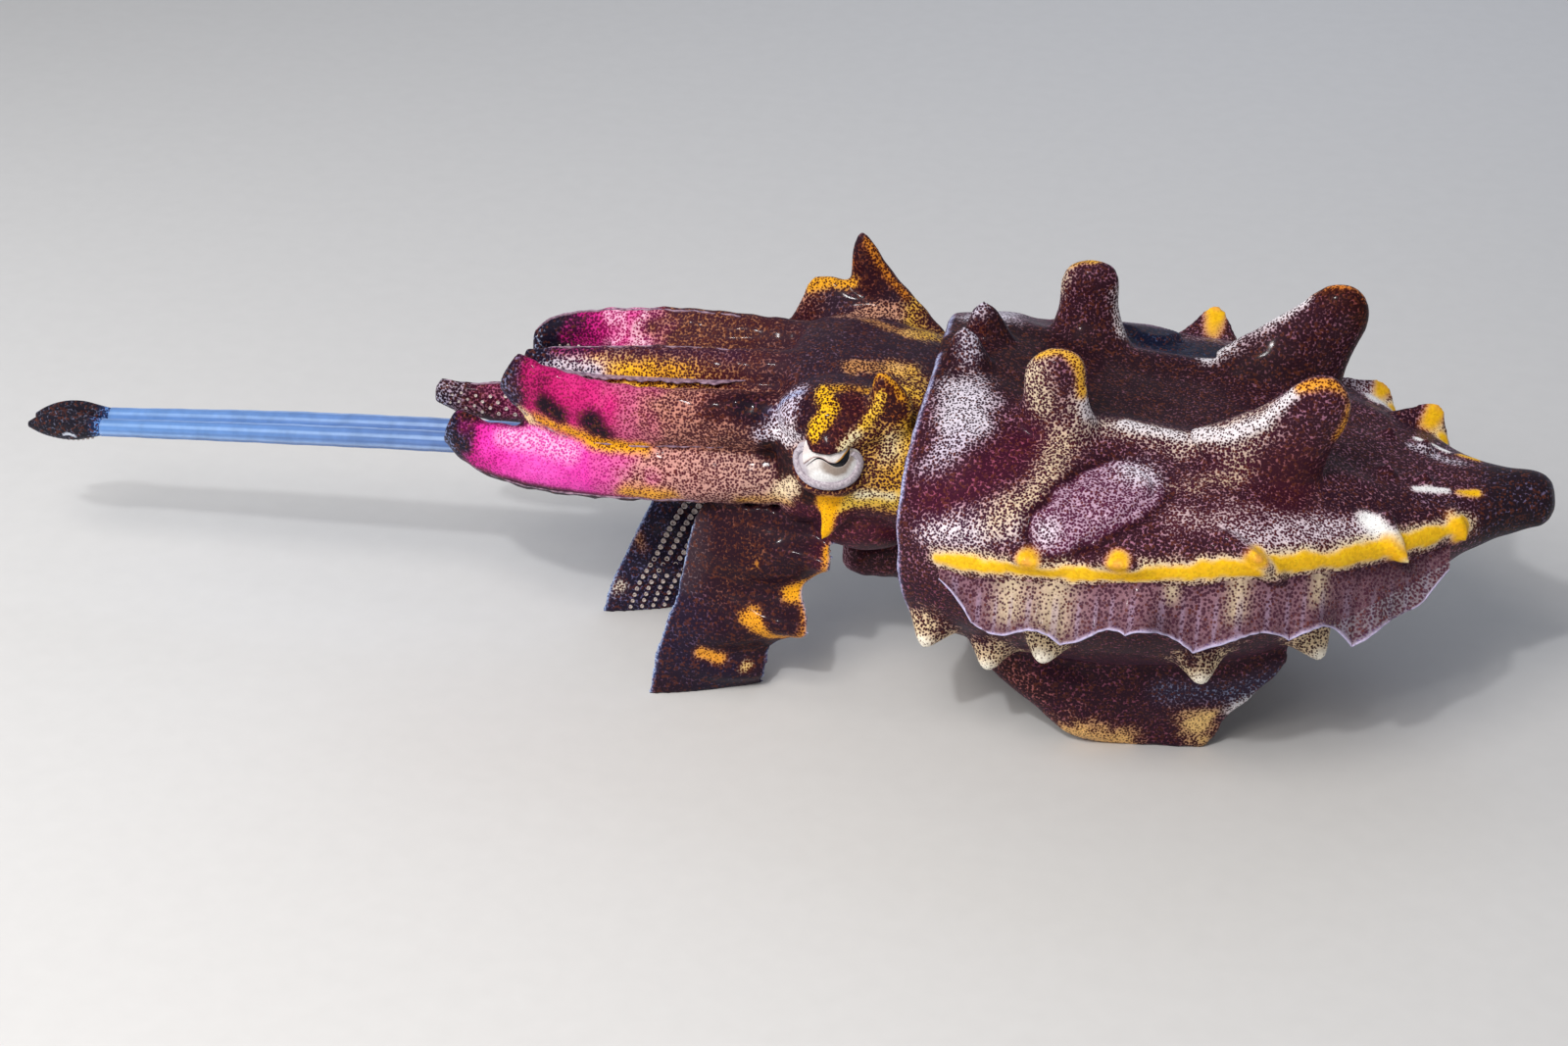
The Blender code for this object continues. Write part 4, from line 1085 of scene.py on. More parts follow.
@dataclass(frozen=True)
class Arm:
    """One of the six upper arms: a flattened, keeled blade with suckers inside and a frill on each edge.

    Attributes:
        name: the CAD node that it stands for.
        path: the points of its middle line from the crown to the tip.
        half_width: half its thickness across the body at each point.
        half_height: half its height at each point.
        oral: the direction that its suckers face.
        bands: its colours at stations from the crown out, as (x, ground, dots, cover).
        frills: its frills, as (height in mm, root's share of the half height up, and of the half width out).
    """

    name: str
    path: tuple
    half_width: tuple
    half_height: tuple
    oral: tuple
    bands: tuple
    frills: tuple = ((0.55, 0.99, -0.1), (0.5, -0.78, 0.62))

    @property
    def side(self) -> Side:
        """The side of the body that it grows on."""
        return LEFT if self.name.endswith("left") else RIGHT

    def frames(self, count: int) -> tuple[Array, Array, Array, Array, Array]:
        """Returns count centres, half widths, half heights and the directions across and up there."""
        path = smooth_curve(self.path, count)
        tangents = np.gradient(path, axis=0)
        across = unit(np.cross(tangents, (0.0, 0.0, 1.0)))
        up = unit(np.cross(across, tangents))
        return path, smooth_curve(self.half_width, count), smooth_curve(self.half_height, count), across, up

    def add(self, bm: BMesh) -> None:
        """Adds the arm's flesh, rooted well inside the head."""
        path, widths, heights, across, up = self.frames(72)
        angles = spokes(36)
        squash = 1.0 - 0.10 * np.cos(angles) ** 2 * np.sin(angles) ** 2
        rings = []
        root = np.array((-8.5, path[0, 1] * 0.86, path[0, 2] * 0.55 + 26.0 * 0.45))
        for share in (0.0, 0.5):
            centre = root + (path[0] - root) * share
            rings.append(oval(centre, (0, widths[0] * 1.4, 0), (0, 0, heights[0] * 1.3), angles))
        for number, (centre, width, height, side, rise) in enumerate(zip(path, widths, heights, across, up)):
            fold = 1.0 + 0.03 * math.sin(number * 0.9 + path[0, 2]) + 0.02 * math.sin(number * 2.3)
            ring = oval(centre, side * width * 0.95, rise * height * 1.06 * fold, angles)
            rings.append(centre + (ring - centre) * squash[:, None])
        tip = path[-1] + (path[-1] - path[-2]) * 0.6
        loft(bm, rings, root + (0.8, 0, 0), tip)

    def closeness(self, points: Array) -> Array:
        """Returns how near points are to the arm, in half sizes of it."""
        path, widths, heights, _, _ = self.frames(40)
        gap, share = path_distance(points, path)
        size = np.interp(share, np.linspace(0, 1, 40), np.sqrt(widths * heights))
        return gap / np.maximum(size, 0.6)

    def dress(self, paint: Paint, weight: Array) -> None:
        """Paints the arm's bands of colour where the weight says.

        Args:
            paint: the skin's colours.
            weight: 0 to 1 at each vertex.
        """
        x = -paint.points[:, 0] + 0.5 * paint.uneven + 0.8 * ripple(paint.points, 2.6, 23)
        places, under, pigment, cover = zip(*self.bands)
        places = [-place for place in places]
        cover = np.interp(x, places, cover)
        paint.blend(weight, colours_at(x, places, under), colours_at(x, places, pigment), cover)

    def frill(self, bm: BMesh, height: float, lift: float, out: float) -> None:
        """Adds a thin, ruffled strip of skin along one edge."""
        path, widths, heights, _, up = self.frames(90)
        knots = np.linspace(0.0, 1.0, 90)
        outward = np.array((0.0, self.side.value, 0.0))
        phase = path[0, 2] + lift

        def surface(along: Array, over: Array) -> Array:
            share = 0.12 + 0.86 * along
            centre, rise = (hermite(knots, values, share) for values in (path, up))
            half = np.interp(share, knots, heights)[:, None]
            wide = np.interp(share, knots, widths)[:, None]
            grow = height * smoothstep(0.0, 0.2, along) * smoothstep(1.0, 0.9, along)
            wave = 0.07 * np.sin(share * 140 + phase) + 0.1 * np.sin(share * 47 + phase)
            reach = (over * (grow * (1 + 0.5 * wave)) - 0.35)[:, None]
            sway = (over * grow * wave)[:, None]
            root = centre + rise * lift * half + outward * wide * out
            return root + unit(rise * lift + outward * 1.6 * out) * reach + outward * sway

        sheet(bm, surface, 260, 4)

    def sucker_places(self, rows: int, count: int) -> Places:
        """Lists the arm's suckers as (root, outward direction, radius in mm)."""
        path, widths, heights, across, up = self.frames(60)
        knots = np.linspace(0.0, 1.0, 60)
        oral = unit(self.oral)
        places = []
        for row in range(rows):
            lean = (row - (rows - 1) / 2) * 0.3
            for number in range(count):
                share = 0.06 + 0.92 * (number + 0.5 * (row % 2)) / count
                centre, side, rise = (hermite(knots, values, [share])[0] for values in (path, across, up))
                wide = np.interp(share, knots, widths) * 0.9
                high = np.interp(share, knots, heights) * 0.97
                angle = math.atan2(oral @ rise / high, oral @ side / wide) + lean
                rim = side * wide * math.cos(angle) + rise * high * math.sin(angle)
                normal = unit(side * math.cos(angle) / wide + rise * math.sin(angle) / high)
                size = 0.17 * math.sqrt(wide * high) * (1.0 - 0.35 * share)
                places.append((centre + rim, normal, size))
        return places


# The pale blue-grey last band at each arm's tip is partly painted rim light over the dark tip.
ARMS = (
    Arm(
        "arm_1_left",
        (
            (-14.3, -3.1, 32.2), (-20, -3.2, 31.6), (-29, -3.1, 30.9), (-36, -2.9, 30.5), (-40, -2.7, 30.6),
            (-42, -2.6, 30.6),
        ),
        (2.2, 2.3, 2.2, 2, 1.6, 0.9), (2.2, 2.4, 2.6, 2.5, 2.1, 1.2), (0, 0.25, -1),
        (
            (-14, "#7a5560", "#34202b", 0.88), (-19, "#96604e", "#3c1c26", 0.8),
            (-21.5, "#ac7450", "#40161c", 0.72), (-25, "#d89a44", "#461820", 0.56),
            (-28, "#f4b02e", "#4a1a18", 0.44), (-30.5, "#fbc12c", "#5a1d1c", 0.38),
            (-33, "#f0c074", "#5a1c2a", 0.44), (-35.5, "#ecd0cc", "#6a1a44", 0.46),
            (-38.6, "#bdb0c4", "#2c1630", 0.62), (-40.6, "#6c7090", "#171022", 0.88),
        ),
        ((0.5, 0.99, -0.1), (1.1, 0.12, 0.98)),
    ),
    Arm(
        "arm_1_right",
        (
            (-14.3, 3.1, 32.2), (-22, 3.1, 32.2), (-31, 3.1, 32), (-37, 3, 31.7), (-40.2, 2.6, 31.3),
            (-41.7, 1.9, 30.5), (-41.6, 1.1, 29.5),
        ),
        (2.2, 2.3, 2.3, 2.2, 1.7, 1.2, 0.7), (2.2, 2.4, 2.6, 2.6, 2.35, 1.9, 1.1), (0, -0.25, -1),
        (
            (-14, "#7a5560", "#34202b", 0.88), (-20, "#9c6648", "#3c1c24", 0.78),
            (-28, "#a8704e", "#42202a", 0.7), (-29.8, "#dc8aa8", "#6a1044", 0.52),
            (-31, "#f2c4d8", "#8a1254", 0.36), (-32.2, "#e0509c", "#8a0f50", 0.5),
            (-33.6, "#f0b0d0", "#9c1460", 0.38), (-35.2, "#dc3492", "#7c0b4a", 0.54),
            (-37.4, "#c01a7a", "#4a0a34", 0.6), (-38.8, "#4a3450", "#191222", 0.94),
            (-41, "#4a5270", "#191222", 0.92), (-42.4, "#8c96b4", "#191222", 0.8),
        ),
        ((0.55, 0.99, -0.1), (0.4, -0.78, 0.62)),
    ),
    Arm(
        "arm_2_left",
        (
            (-14.3, -7.9, 29.1), (-22, -8.2, 28.9), (-31, -7.9, 28.2), (-36.5, -7, 28.2),
            (-40.6, -6.2, 29.5), (-43, -5.4, 30.8),
        ),
        (2.4, 2.4, 2.3, 2.1, 1.8, 1.1), (2.9, 3, 3, 3.3, 3.4, 2.5), (0, 1, 0.1),
        (
            (-14, "#a87868", "#3a1a24", 0.76), (-20, "#bd8472", "#421c24", 0.62),
            (-26, "#c8877a", "#4d1f28", 0.52), (-30, "#d0648a", "#7a1a44", 0.42),
            (-33, "#d4307e", "#a01058", 0.34), (-38, "#c4206e", "#8e0c4c", 0.36),
            (-41, "#a51e5e", "#4a0a2c", 0.6), (-43, "#6a6a88", "#171022", 0.82),
        ),
        ((0.4, -0.78, 0.62),),
    ),
    Arm(
        "arm_2_right",
        (
            (-14.3, 7.9, 29.1), (-22, 8.2, 28.8), (-30, 7.8, 28.2), (-36, 6.6, 27.6), (-40, 5.4, 27.2),
            (-41.8, 4.7, 27.6),
        ),
        (2.4, 2.4, 2.3, 2, 1.5, 0.7), (2.9, 3, 2.9, 2.6, 2.1, 1.2), (0, -1, 0.1),
        (
            (-14, "#cf9678", "#3a161c", 0.55), (-26, "#cf8a72", "#4d1722", 0.55),
            (-33, "#dd3f8c", "#8a0c48", 0.5), (-38, "#c92c7c", "#6a0a3a", 0.55),
            (-41.5, "#d8dae6", "#1d1226", 0.45),
        ),
    ),
    Arm(
        "arm_3_left",
        (
            (-14.3, -8, 23), (-23, -8.6, 22.9), (-33, -8.1, 22.3), (-41, -6.9, 21.9), (-46.6, -5.6, 22.3),
            (-49.6, -4.6, 23.6),
        ),
        (2.3, 2.4, 2.4, 2.2, 1.9, 1.1), (2.6, 2.8, 3, 3.2, 3.1, 2.3), (0, 1, 0.25),
        (
            (-14, "#c9a294", "#4a2430", 0.5), (-20, "#cfa095", "#52242e", 0.48),
            (-27, "#d79a92", "#551a26", 0.46), (-31, "#dc6aa0", "#8c1450", 0.36),
            (-35, "#ec3fae", "#c0208c", 0.26), (-40, "#f458c2", "#d02a9c", 0.18),
            (-44, "#ee3cb2", "#b8107e", 0.26), (-47, "#c81c86", "#6c0a48", 0.5),
            (-48.4, "#5a4a70", "#160f20", 0.86), (-50.6, "#7f8bb4", "#1c1428", 0.74),
        ),
        ((0.4, -0.78, 0.62),),
    ),
    Arm(
        "arm_3_right",
        (
            (-14.3, 8, 23), (-24, 8.4, 22.8), (-34, 7.6, 22.2), (-43, 5.4, 21.8), (-50, 4.4, 21.8),
            (-53.6, 4, 22.8),
        ),
        (2.3, 2.4, 2.4, 2, 1.6, 0.8), (2.6, 2.8, 2.9, 2.8, 2.3, 1.4), (0, -1, 0.25),
        (
            (-14, "#d8ab94", "#3d181c", 0.5), (-28, "#d0909a", "#551a2a", 0.5),
            (-36, "#dc3f98", "#9a1064", 0.45), (-44, "#b85a84", "#5a1238", 0.6),
            (-49, "#9a5a6c", "#34101f", 0.74), (-53.4, "#b8b4c8", "#22141f", 0.6),
        ),
    ),
)
WEBS = ((0, 1, 0.7), (0, 2, 0.8), (1, 3, 0.8), (2, 4, 0.86), (3, 5, 0.86))


def add_web(bm: BMesh, first: Arm, second: Arm, end: float) -> None:
    """Adds the web of skin between two neighbouring arms.

    Args:
        bm: the bmesh that takes it.
        first: one arm.
        second: its neighbour.
        end: how far along them the web runs, from 0 to 1.
    """
    paths = [arm.frames(60) for arm in (first, second)]
    rings = []
    for number in range(int(60 * end)):
        share = number / (60 * end)
        centre = (paths[0][0][number] + paths[1][0][number]) / 2
        reach = (paths[1][0][number] - paths[0][0][number]) / 2
        normal = unit(np.cross((1.0, 0.0, 0.0), reach))
        thick = 0.45 * min(paths[0][1][number], paths[1][1][number]) * (1 - 0.5 * share**3)
        rings.append(oval(centre, reach, normal * thick, spokes(28)))
    rings.insert(0, rings[0] + (3.4, 0.0, 0.0))
    loft(bm, rings)


def build_frills(material: Material) -> None:
    """Builds the ruffled edges of all the upper arms as one piece."""
    bm = bmesh.new()
    for arm in ARMS:
        for height, lift, out in arm.frills:
            arm.frill(bm, height, lift, out)
    obj = new_object("arm_frills", bm)
    thicken(obj, 0.14, 0.0)
    finish_piece(obj, material)


# ---------------------------------------------------------------- legs


@dataclass(frozen=True)
class Leg:
    """A fourth arm, used as a leg: a broad, thin blade with a scalloped rear edge.

    Attributes:
        name: the CAD node that it stands for.
        side: the side that it grows on.
        levels: heights of its sections above the floor.
        front: the front edge at each level, as (x, y).
        rear: the rear edge at each level.
        half: half its thickness at evenly spaced levels.
        wave: how far its rear edge curls out at its lobes, in mm.
    """

    name: str
    side: Side
    levels: tuple
    front: tuple
    rear: tuple
    half: tuple = (0.7, 0.85, 0.95, 1.05, 1.15, 1.3, 1.3, 1.0)
    wave: float = 1.0
    root: tuple = (-12.5, 5.2, 18.6)

    def section(self, rows: int) -> tuple[Array, Array, Array, Array]:
        """Returns heights, front and rear edges and half thickness at evenly spaced levels."""
        heights = smooth_curve(self.levels, rows)
        front, rear = (hermite(self.levels, edge, heights) for edge in (self.front, self.rear))
        return heights, front, rear, smooth_curve(self.half, rows)

    def curl(self, z: float, back: Array | float) -> Array | float:
        """Returns how far the blade bends outwards at a height, from its front edge (0) to its rear (1)."""
        fold = self.wave * np.sin(z * 0.9) * back**2 + 0.24 * np.sin(z * 1.7 + back * 7) * (0.35 + back)
        return self.side.value * fold * smoothstep(0.0, 2.5, z) * smoothstep(19.6, 15.5, z)

    def add(self, bm: BMesh) -> None:
        """Adds the blade and the thick root that joins it to the crown."""
        rings = []
        angles = spokes(72)
        for z, front, rear, half in zip(*self.section(48)):
            centre = np.append((front + rear) / 2, z)
            reach = np.append((front - rear) / 2, 0.0)
            normal = unit((-reach[1], reach[0], 0.0))
            back = (1 - np.cos(angles)) / 2
            thin = 1.0 - 0.45 * back**2
            ring = centre + np.cos(angles)[:, None] * reach + (np.sin(angles) * half * thin)[:, None] * normal
            ring[:, 1] += self.curl(z, back)
            rings.append(ring)
        top = np.mean(rings[-1], axis=0)
        loft(bm, rings)
        root = self.root * self.side.mirror
        down = top + (rings[-10][0] - top) * 0.25 - (0, 0, 3.6)
        stalk = []
        for share in np.linspace(0.0, 1.0, 12):
            centre = root + (down - root) * share - (0, 0, 0.5 * math.sin(math.pi * share))
            size = 2.7 - 1.3 * share
            stalk.append(oval(centre, (0, size, 0), (size * 0.5, 0, size * 0.85), spokes(24)))
        loft(bm, stalk, root + (1.5, 0, 0.5), down + (down - root) * 0.1)

    def sucker_places(self, rows: int) -> Places:
        """Lists the suckers down the blade's inner face as (root, outward direction, radius)."""
        places = []
        heights, fronts, rears, halves = self.section(rows)
        for number in range(1, rows - 3):
            centre = (fronts[number] + rears[number]) / 2
            reach = (fronts[number] - rears[number]) / 2
            normal = np.append(unit((-reach[1], reach[0])), 0.0)
            if normal[1] * self.side.value > 0:
                normal = -normal
            for shift in (-0.36, -0.12, 0.12, 0.36):
                root = np.append(centre + reach * (shift + 0.08), heights[number])
                places.append((root + normal * halves[number] * 0.86, normal, 0.2 + 0.012 * heights[number]))
        return places


LEGS = (
    Leg(
        "arm_4_left", LEFT, (0, 2.8, 5, 6.2, 8.1, 9.6, 11.4, 13.9, 15.7, 17.4, 19.6),
        (
            (-27.6, -13.9), (-27.2, -13.4), (-26.8, -12.8), (-26.4, -12.3), (-25.9, -11.6), (-25.3, -10.9),
            (-25, -10.1), (-24.6, -9.2), (-24.3, -8.7), (-23.9, -8.2), (-22.8, -7.6),
        ),
        (
            (-16.4, -9.6), (-15.8, -10.3), (-15.2, -10.9), (-13.2, -11.3), (-11.3, -11.3), (-11.5, -10.9),
            (-12.3, -10.4), (-10, -10.2), (-9.2, -9.8), (-9.6, -9), (-10.4, -8.2),
        ),
        wave=1.3,
    ),
    Leg(
        "arm_4_right", RIGHT, (0, 3, 6, 9, 12, 15, 19.2),
        ((-36, 0.6), (-35.2, 2), (-33.9, 3.4), (-32.6, 4.8), (-31, 6), (-28.4, 7), (-23, 7.4)),
        ((-26.6, 3.8), (-25.4, 5), (-22.8, 6.2), (-21.2, 7.4), (-18.6, 8.2), (-16, 8.4), (-15.8, 7.8)),
        wave=0.7,
    ),
)


# ---------------------------------------------------------------- head


FLAP_EDGE = (
    (-6.1, -9.6, 34.2), (-5.6, -11, 36), (-4.9, -11.2, 37.3), (-3.4, -11.3, 36.2), (-2.8, -11.4, 34.8),
)
BROW_BAND = (
    (-4.6, -11.9, 35.2), (-5, -11.8, 33.5), (-6, -12.6, 32.4), (-6.9, -13.3, 31.3), (-7.7, -13.9, 30.5),
)
HEAD_MARKS = (
    Mark(((-8.5, -5.1, 34.5), (-6, -4.3, 34.4), (-3.8, -3.8, 34)), 1.15, "#c98f58", "#3a1c1c", 0.5,
         soft=0.7, fray=0.3),
    Mark(((-4.2, -3.9, 34.1),), 0.8, "#e8b478", "#3a1c1c", 0.3, soft=0.8),
    Mark(((-9.4, -10, 34.4), (-6.4, -9.6, 34.3)), 0.8, "#dca02c", "#3a160c", 0.4, soft=0.7, fray=0.2),
    Mark(((-2.9, -11.3, 33), (-2.2, -11.9, 31), (-2, -12.2, 28), (-2.6, -12.2, 25.6)), 2.9, "#ffc83c",
         "#4a1c14", 0.34, soft=0.5, flat=0.4),
    Mark(((-4, -12, 30.6), (-4, -12.2, 28.8)), 1.1, "#f8e6b8", "#3f1722", 0.5, soft=0.9, flat=0.4),
    Mark(((-3.2, -12.2, 26.4), (-4.6, -12.2, 25.4)), 1.4, "#efb040", "#3c1620", 0.56, soft=0.9, fray=0.25,
         flat=0.4),
    Mark(((-4.3, -11.8, 32.4), (-5.4, -12.6, 30.6), (-5.6, -12.3, 28.4), (-5.9, -12.4, 26.4)), 1.2,
         "#eab45c", "#3a1220", 0.62, soft=0.9, fray=0.25, flat=0.4),
    Mark(((-2.6, -8.8, 33.4), (0.4, -10, 32.4)), 1.6, "#8a5a54", "#301620", 0.88, soft=0.8),
    Mark(((-16.2, -10.3, 28.9), (-15.3, -10.3, 30.2), (-14.2, -10.9, 31.6), (-12.8, -11.2, 33.3)), 1.2,
         "#d9cfe4", "#3a1c2c", 0.5, soft=0.6, fray=0.15, flat=0.5),
    Mark(((-14.7, -10.9, 28.9), (-12.8, -12.6, 30.6)), 1.2, "#efe6f0", "#3a1c2c", 0.44, soft=0.7, fray=0.15,
         flat=0.4),
    Mark(((-12.6, -10.2, 34), (-15, -9.8, 32.2), (-17.4, -9.6, 29.8)), 0.4, "#a6acd0", "#3a3050", 0.4,
         soft=0.8),
    Mark(((-21.4, -9.2, 30.8), (-18, -8.6, 31.8), (-15.4, -7.4, 33.2)), 1.3, "#7a4048", "#2a0f18", 0.9,
         soft=0.9),
    Mark(((-15.6, -9.6, 26.9), (-14.1, -11.1, 27), (-13.8, -11, 25.4)), 1.45, "#5c2c30", "#1c080f", 0.98,
         soft=0.4, fray=0.2, flat=0.5),
    Mark(((-12.4, -11.5, 24.3), (-11.6, -11.6, 23)), 0.95, "#5c2c30", "#1c080f", 0.97, soft=0.5, flat=0.5),
    Mark(((-13.2, -11.1, 24.2), (-14.6, -10.2, 22.2)), 1, "#f6deba", "#4a1e1c", 0.28, soft=0.8, fray=0.2),
    Mark(((-7.6, -11.9, 33.6), (-8.4, -13.2, 32.5), (-9.1, -14.1, 31.1), (-10.2, -14.4, 30.6)), 1.5,
         "#8c4640", "#300f19", 0.88, soft=0.4, flat=0.5),
    Mark(((-11.7, -11.6, 33.5), (-11.9, -13.1, 31.7)), 0.9, "#6a4450", "#24101c", 0.9, soft=0.6, flat=0.5),
    Mark(((-10.5, -11.1, 34.2), (-9.6, -12.2, 33.5), (-10, -13.3, 32.4), (-10.7, -13.6, 31.6)), 0.85,
         "#f8c01e", "#3c140e", 0.44, 0.05, soft=0.5, fray=0.15, flat=0.5),
    Mark(((-4, -11.8, 35.2), (-3.5, -11.6, 33.6)), 1.5, "#a85a2c", "#2e0e14", 0.84, soft=0.6),
    Mark(FLAP_EDGE, 0.36, "#e39e26", "#5a240c", 0.4, soft=0.7),
    Mark(BROW_BAND, 0.5, "#f5c440", "#4a1a10", 0.42, 0.1, soft=0.5, flat=0.6),
    Mark(BROW_BAND[-2:], 0.7, "#f6e7ba", "#4a1a10", 0.42, soft=0.7, flat=0.5),
    Mark(((-8.7, -12.3, 23.3), (-6, -12.4, 24), (-4.3, -12.3, 24.1), (-1.6, -12.2, 24.3)), 1, "#fbd050",
         "#4a1e14", 0.26, soft=0.6, fray=0.2),
    Mark(((-6.4, -12.5, 24.6), (-3.4, -12.4, 24.6)), 0.6, "#fbefc8", "#4a1e14", 0.34, soft=0.8, fray=0.2),
    Mark(((-9.2, -12.9, 24.6), (-10, -12.2, 22.2), (-10.1, -12.6, 19.6)), 1.15, "#f8b40c", "#a0500c", 0,
         soft=0.35),
    Mark(((-9.8, 9.1, 39.1), (-9.4, 9.4, 36.4)), 2.2, "#8c4a3a", "#2a0f18", 0.86, soft=0.6, side=RIGHT),
    Mark(((-11.3, 9.6, 38.6), (-11.9, 9.3, 37.2)), 0.5, "#d9781c", "#4a1c10", 0.5, soft=0.6, side=RIGHT),
    Mark(((-9.6, 9.6, 41), (-7.6, 9.3, 37.6), (-5.6, 9.2, 35.4)), 0.5, "#d9862c", "#4a1c10", 0.5, soft=0.7,
         side=RIGHT),
    Mark(((-15.7, 9.2, 35.8), (-13.4, 9.2, 36.4), (-11, 8.9, 36.6)), 0.8, "#efa828", "#4a1e14", 0.36,
         soft=0.6, side=RIGHT),
    Mark(((-12, 6.4, 34.3), (-9.4, 6.8, 34.5), (-6.8, 7.6, 34.2)), 0.95, "#cf9a80", "#3a1a20", 0.48,
         soft=0.8, side=RIGHT, fray=0.3),
    Mark(((-18.5, -9.6, 31.2), (-17.2, -9.4, 30.8)), 1.3, "#5a2c44", "#180a18", 0.95, soft=0.8, side=LEFT),
    Mark(((-38.6, -8.4, 28.8), (-37.2, -8.7, 28)), 1.2, "#7a1c4c", "#1a0a18", 0.95, soft=0.6, side=LEFT),
    Mark(((-33.6, -9.5, 28), (-32.7, -9.3, 26.8)), 1.5, "#7a1c4c", "#1a0a18", 0.95, soft=0.6, side=LEFT),
    Mark(((-39.4, -8, 26.6), (-36.8, -8.6, 26.5), (-32.5, -9, 25.5), (-28.5, -9.4, 26)), 0.85, "#f4ab1c",
         "#5a240f", 0.3, soft=0.8, side=LEFT, fray=0.25),
    Mark(((-40.4, -6.9, 26.6), (-41.4, -6.4, 27.2)), 0.8, "#f6dca0", "#5a2c24", 0.18, soft=0.6, side=LEFT),
    Mark(((-43.4, -6.4, 29), (-43.8, -5.6, 31), (-42.6, -5, 32.6)), 0.8, "#7a7a9c", "#1c0f1f", 0.7,
         soft=0.6, side=LEFT),
    Mark(((-30, -10, 21), (-27.4, -10.6, 21.3), (-25.4, -10.6, 21.2)), 1, "#f4ac3c", "#6a2c14", 0.3,
         soft=0.9, side=LEFT, fray=0.25),
    Mark(((-18.4, -10.4, 20.9), (-14.6, -10.6, 21.2)), 0.9, "#f0b458", "#5a2c14", 0.32, soft=0.9, side=LEFT,
         fray=0.25),
    # Pale pink along the top of arm 3L: its own colour, and partly a painted highlight.
    Mark(((-43, -7.6, 24.6), (-39.4, -8.1, 24.7), (-36, -9, 24.2)), 1, "#f9b4e0", "#cc46a0", 0.46, soft=1,
         side=LEFT),
    Mark(((-47.8, -5.6, 25.4), (-44.6, -6, 25.6), (-41.4, -6.6, 25.6)), 0.6, "#8a3a4a", "#1c0a14", 0.9,
         soft=0.7, side=LEFT),
    Mark(((-34.4, -4.6, 31), (-38, -4.4, 30.8), (-40, -3.8, 30.6)), 0.9, "#e6dcea", "#2a1a36", 0.46,
         soft=0.7, side=LEFT, fray=0.25),
    Mark(((-20, -3.6, 34), (-27, -3.4, 33.6), (-33, -3.2, 33.2)), 1, "#8c6068", "#36182a", 0.76, soft=1,
         side=LEFT, fray=0.2),
    Mark(((-34.6, -3.2, 33.2), (-38.8, -3.2, 32.6)), 0.8, "#9a2468", "#2a0f28", 0.7, soft=0.8, side=LEFT),
    Mark(((-25.4, -9.6, 10), (-24.6, -10.6, 5), (-21, -12, 1.5)), 3.4, "#5a4c6c", "#241a2c", 0.95, soft=0.9,
         side=LEFT, fray=0.2, flat=0.3),
    Mark(((-9.8, -9.8, 16.4), (-9.9, -10.2, 14.4), (-11, -10.6, 12.9), (-12.6, -10.4, 11.7)), 0.6,
         "#f5a81c", "#5a260f", 0.1, soft=0.6, side=LEFT, flat=0.3),
    Mark(((-13.6, -10.3, 11.3), (-12.6, -10.4, 11.5)), 0.95, "#f8ac20", "#5a260f", 0.1, soft=0.6, side=LEFT,
         flat=0.3),
    Mark(((-11.8, -10.8, 10.4), (-11.4, -11.2, 9), (-12, -11.4, 7.4), (-14.2, -11.6, 6.7)), 0.75, "#f09c24",
         "#5a260f", 0.2, soft=0.7, side=LEFT, flat=0.3),
    Mark(((-17.1, -10.8, 14.6),), 0.6, "#f0a024", "#4a1e14", 0.34, soft=0.8, side=LEFT, fray=0.3, flat=0.3),
    Mark(((-17.3, -12.5, 9.2), (-16.2, -12.4, 7.9), (-15.1, -11.6, 7)), 0.85, "#f8a828", "#5a260f", 0.14,
         soft=0.6, side=LEFT, fray=0.25, flat=0.3),
    Mark(((-22.3, -12.5, 4.7), (-20.7, -12.2, 4)), 0.75, "#f3a436", "#5a260f", 0.16, soft=0.7, side=LEFT,
         fray=0.25, flat=0.3),
    Mark(((-17.8, -11.5, 2.9),), 0.55, "#e8c27c", "#5a260f", 0.3, soft=0.8, side=LEFT, fray=0.3, flat=0.3),
    Mark(((-18.6, -10, 16.6), (-20.4, -10.4, 13.6)), 2.6, "#845038", "#2a1620", 0.92, soft=0.9, side=LEFT,
         fray=0.3, flat=0.3),
    # Painted highlight: a grey streak down the upper front of the left leg.
    Mark(((-23.4, -8.3, 16.9), (-22.9, -9, 14.6), (-23.7, -10, 11.7)), 1.3, "#7a6a6c", "#3c2c34", 0.86,
         soft=1, side=LEFT),
    Mark(((-34.2, 1.3, 2.6),), 1, "#e8d8c4", "#4a2c34", 0.4, soft=0.8, side=RIGHT, fray=0.3),
    Mark(((-33.2, 3, 7.4),), 1.3, "#f2a42c", "#5a260f", 0.24, soft=0.7, side=RIGHT, fray=0.3),
)


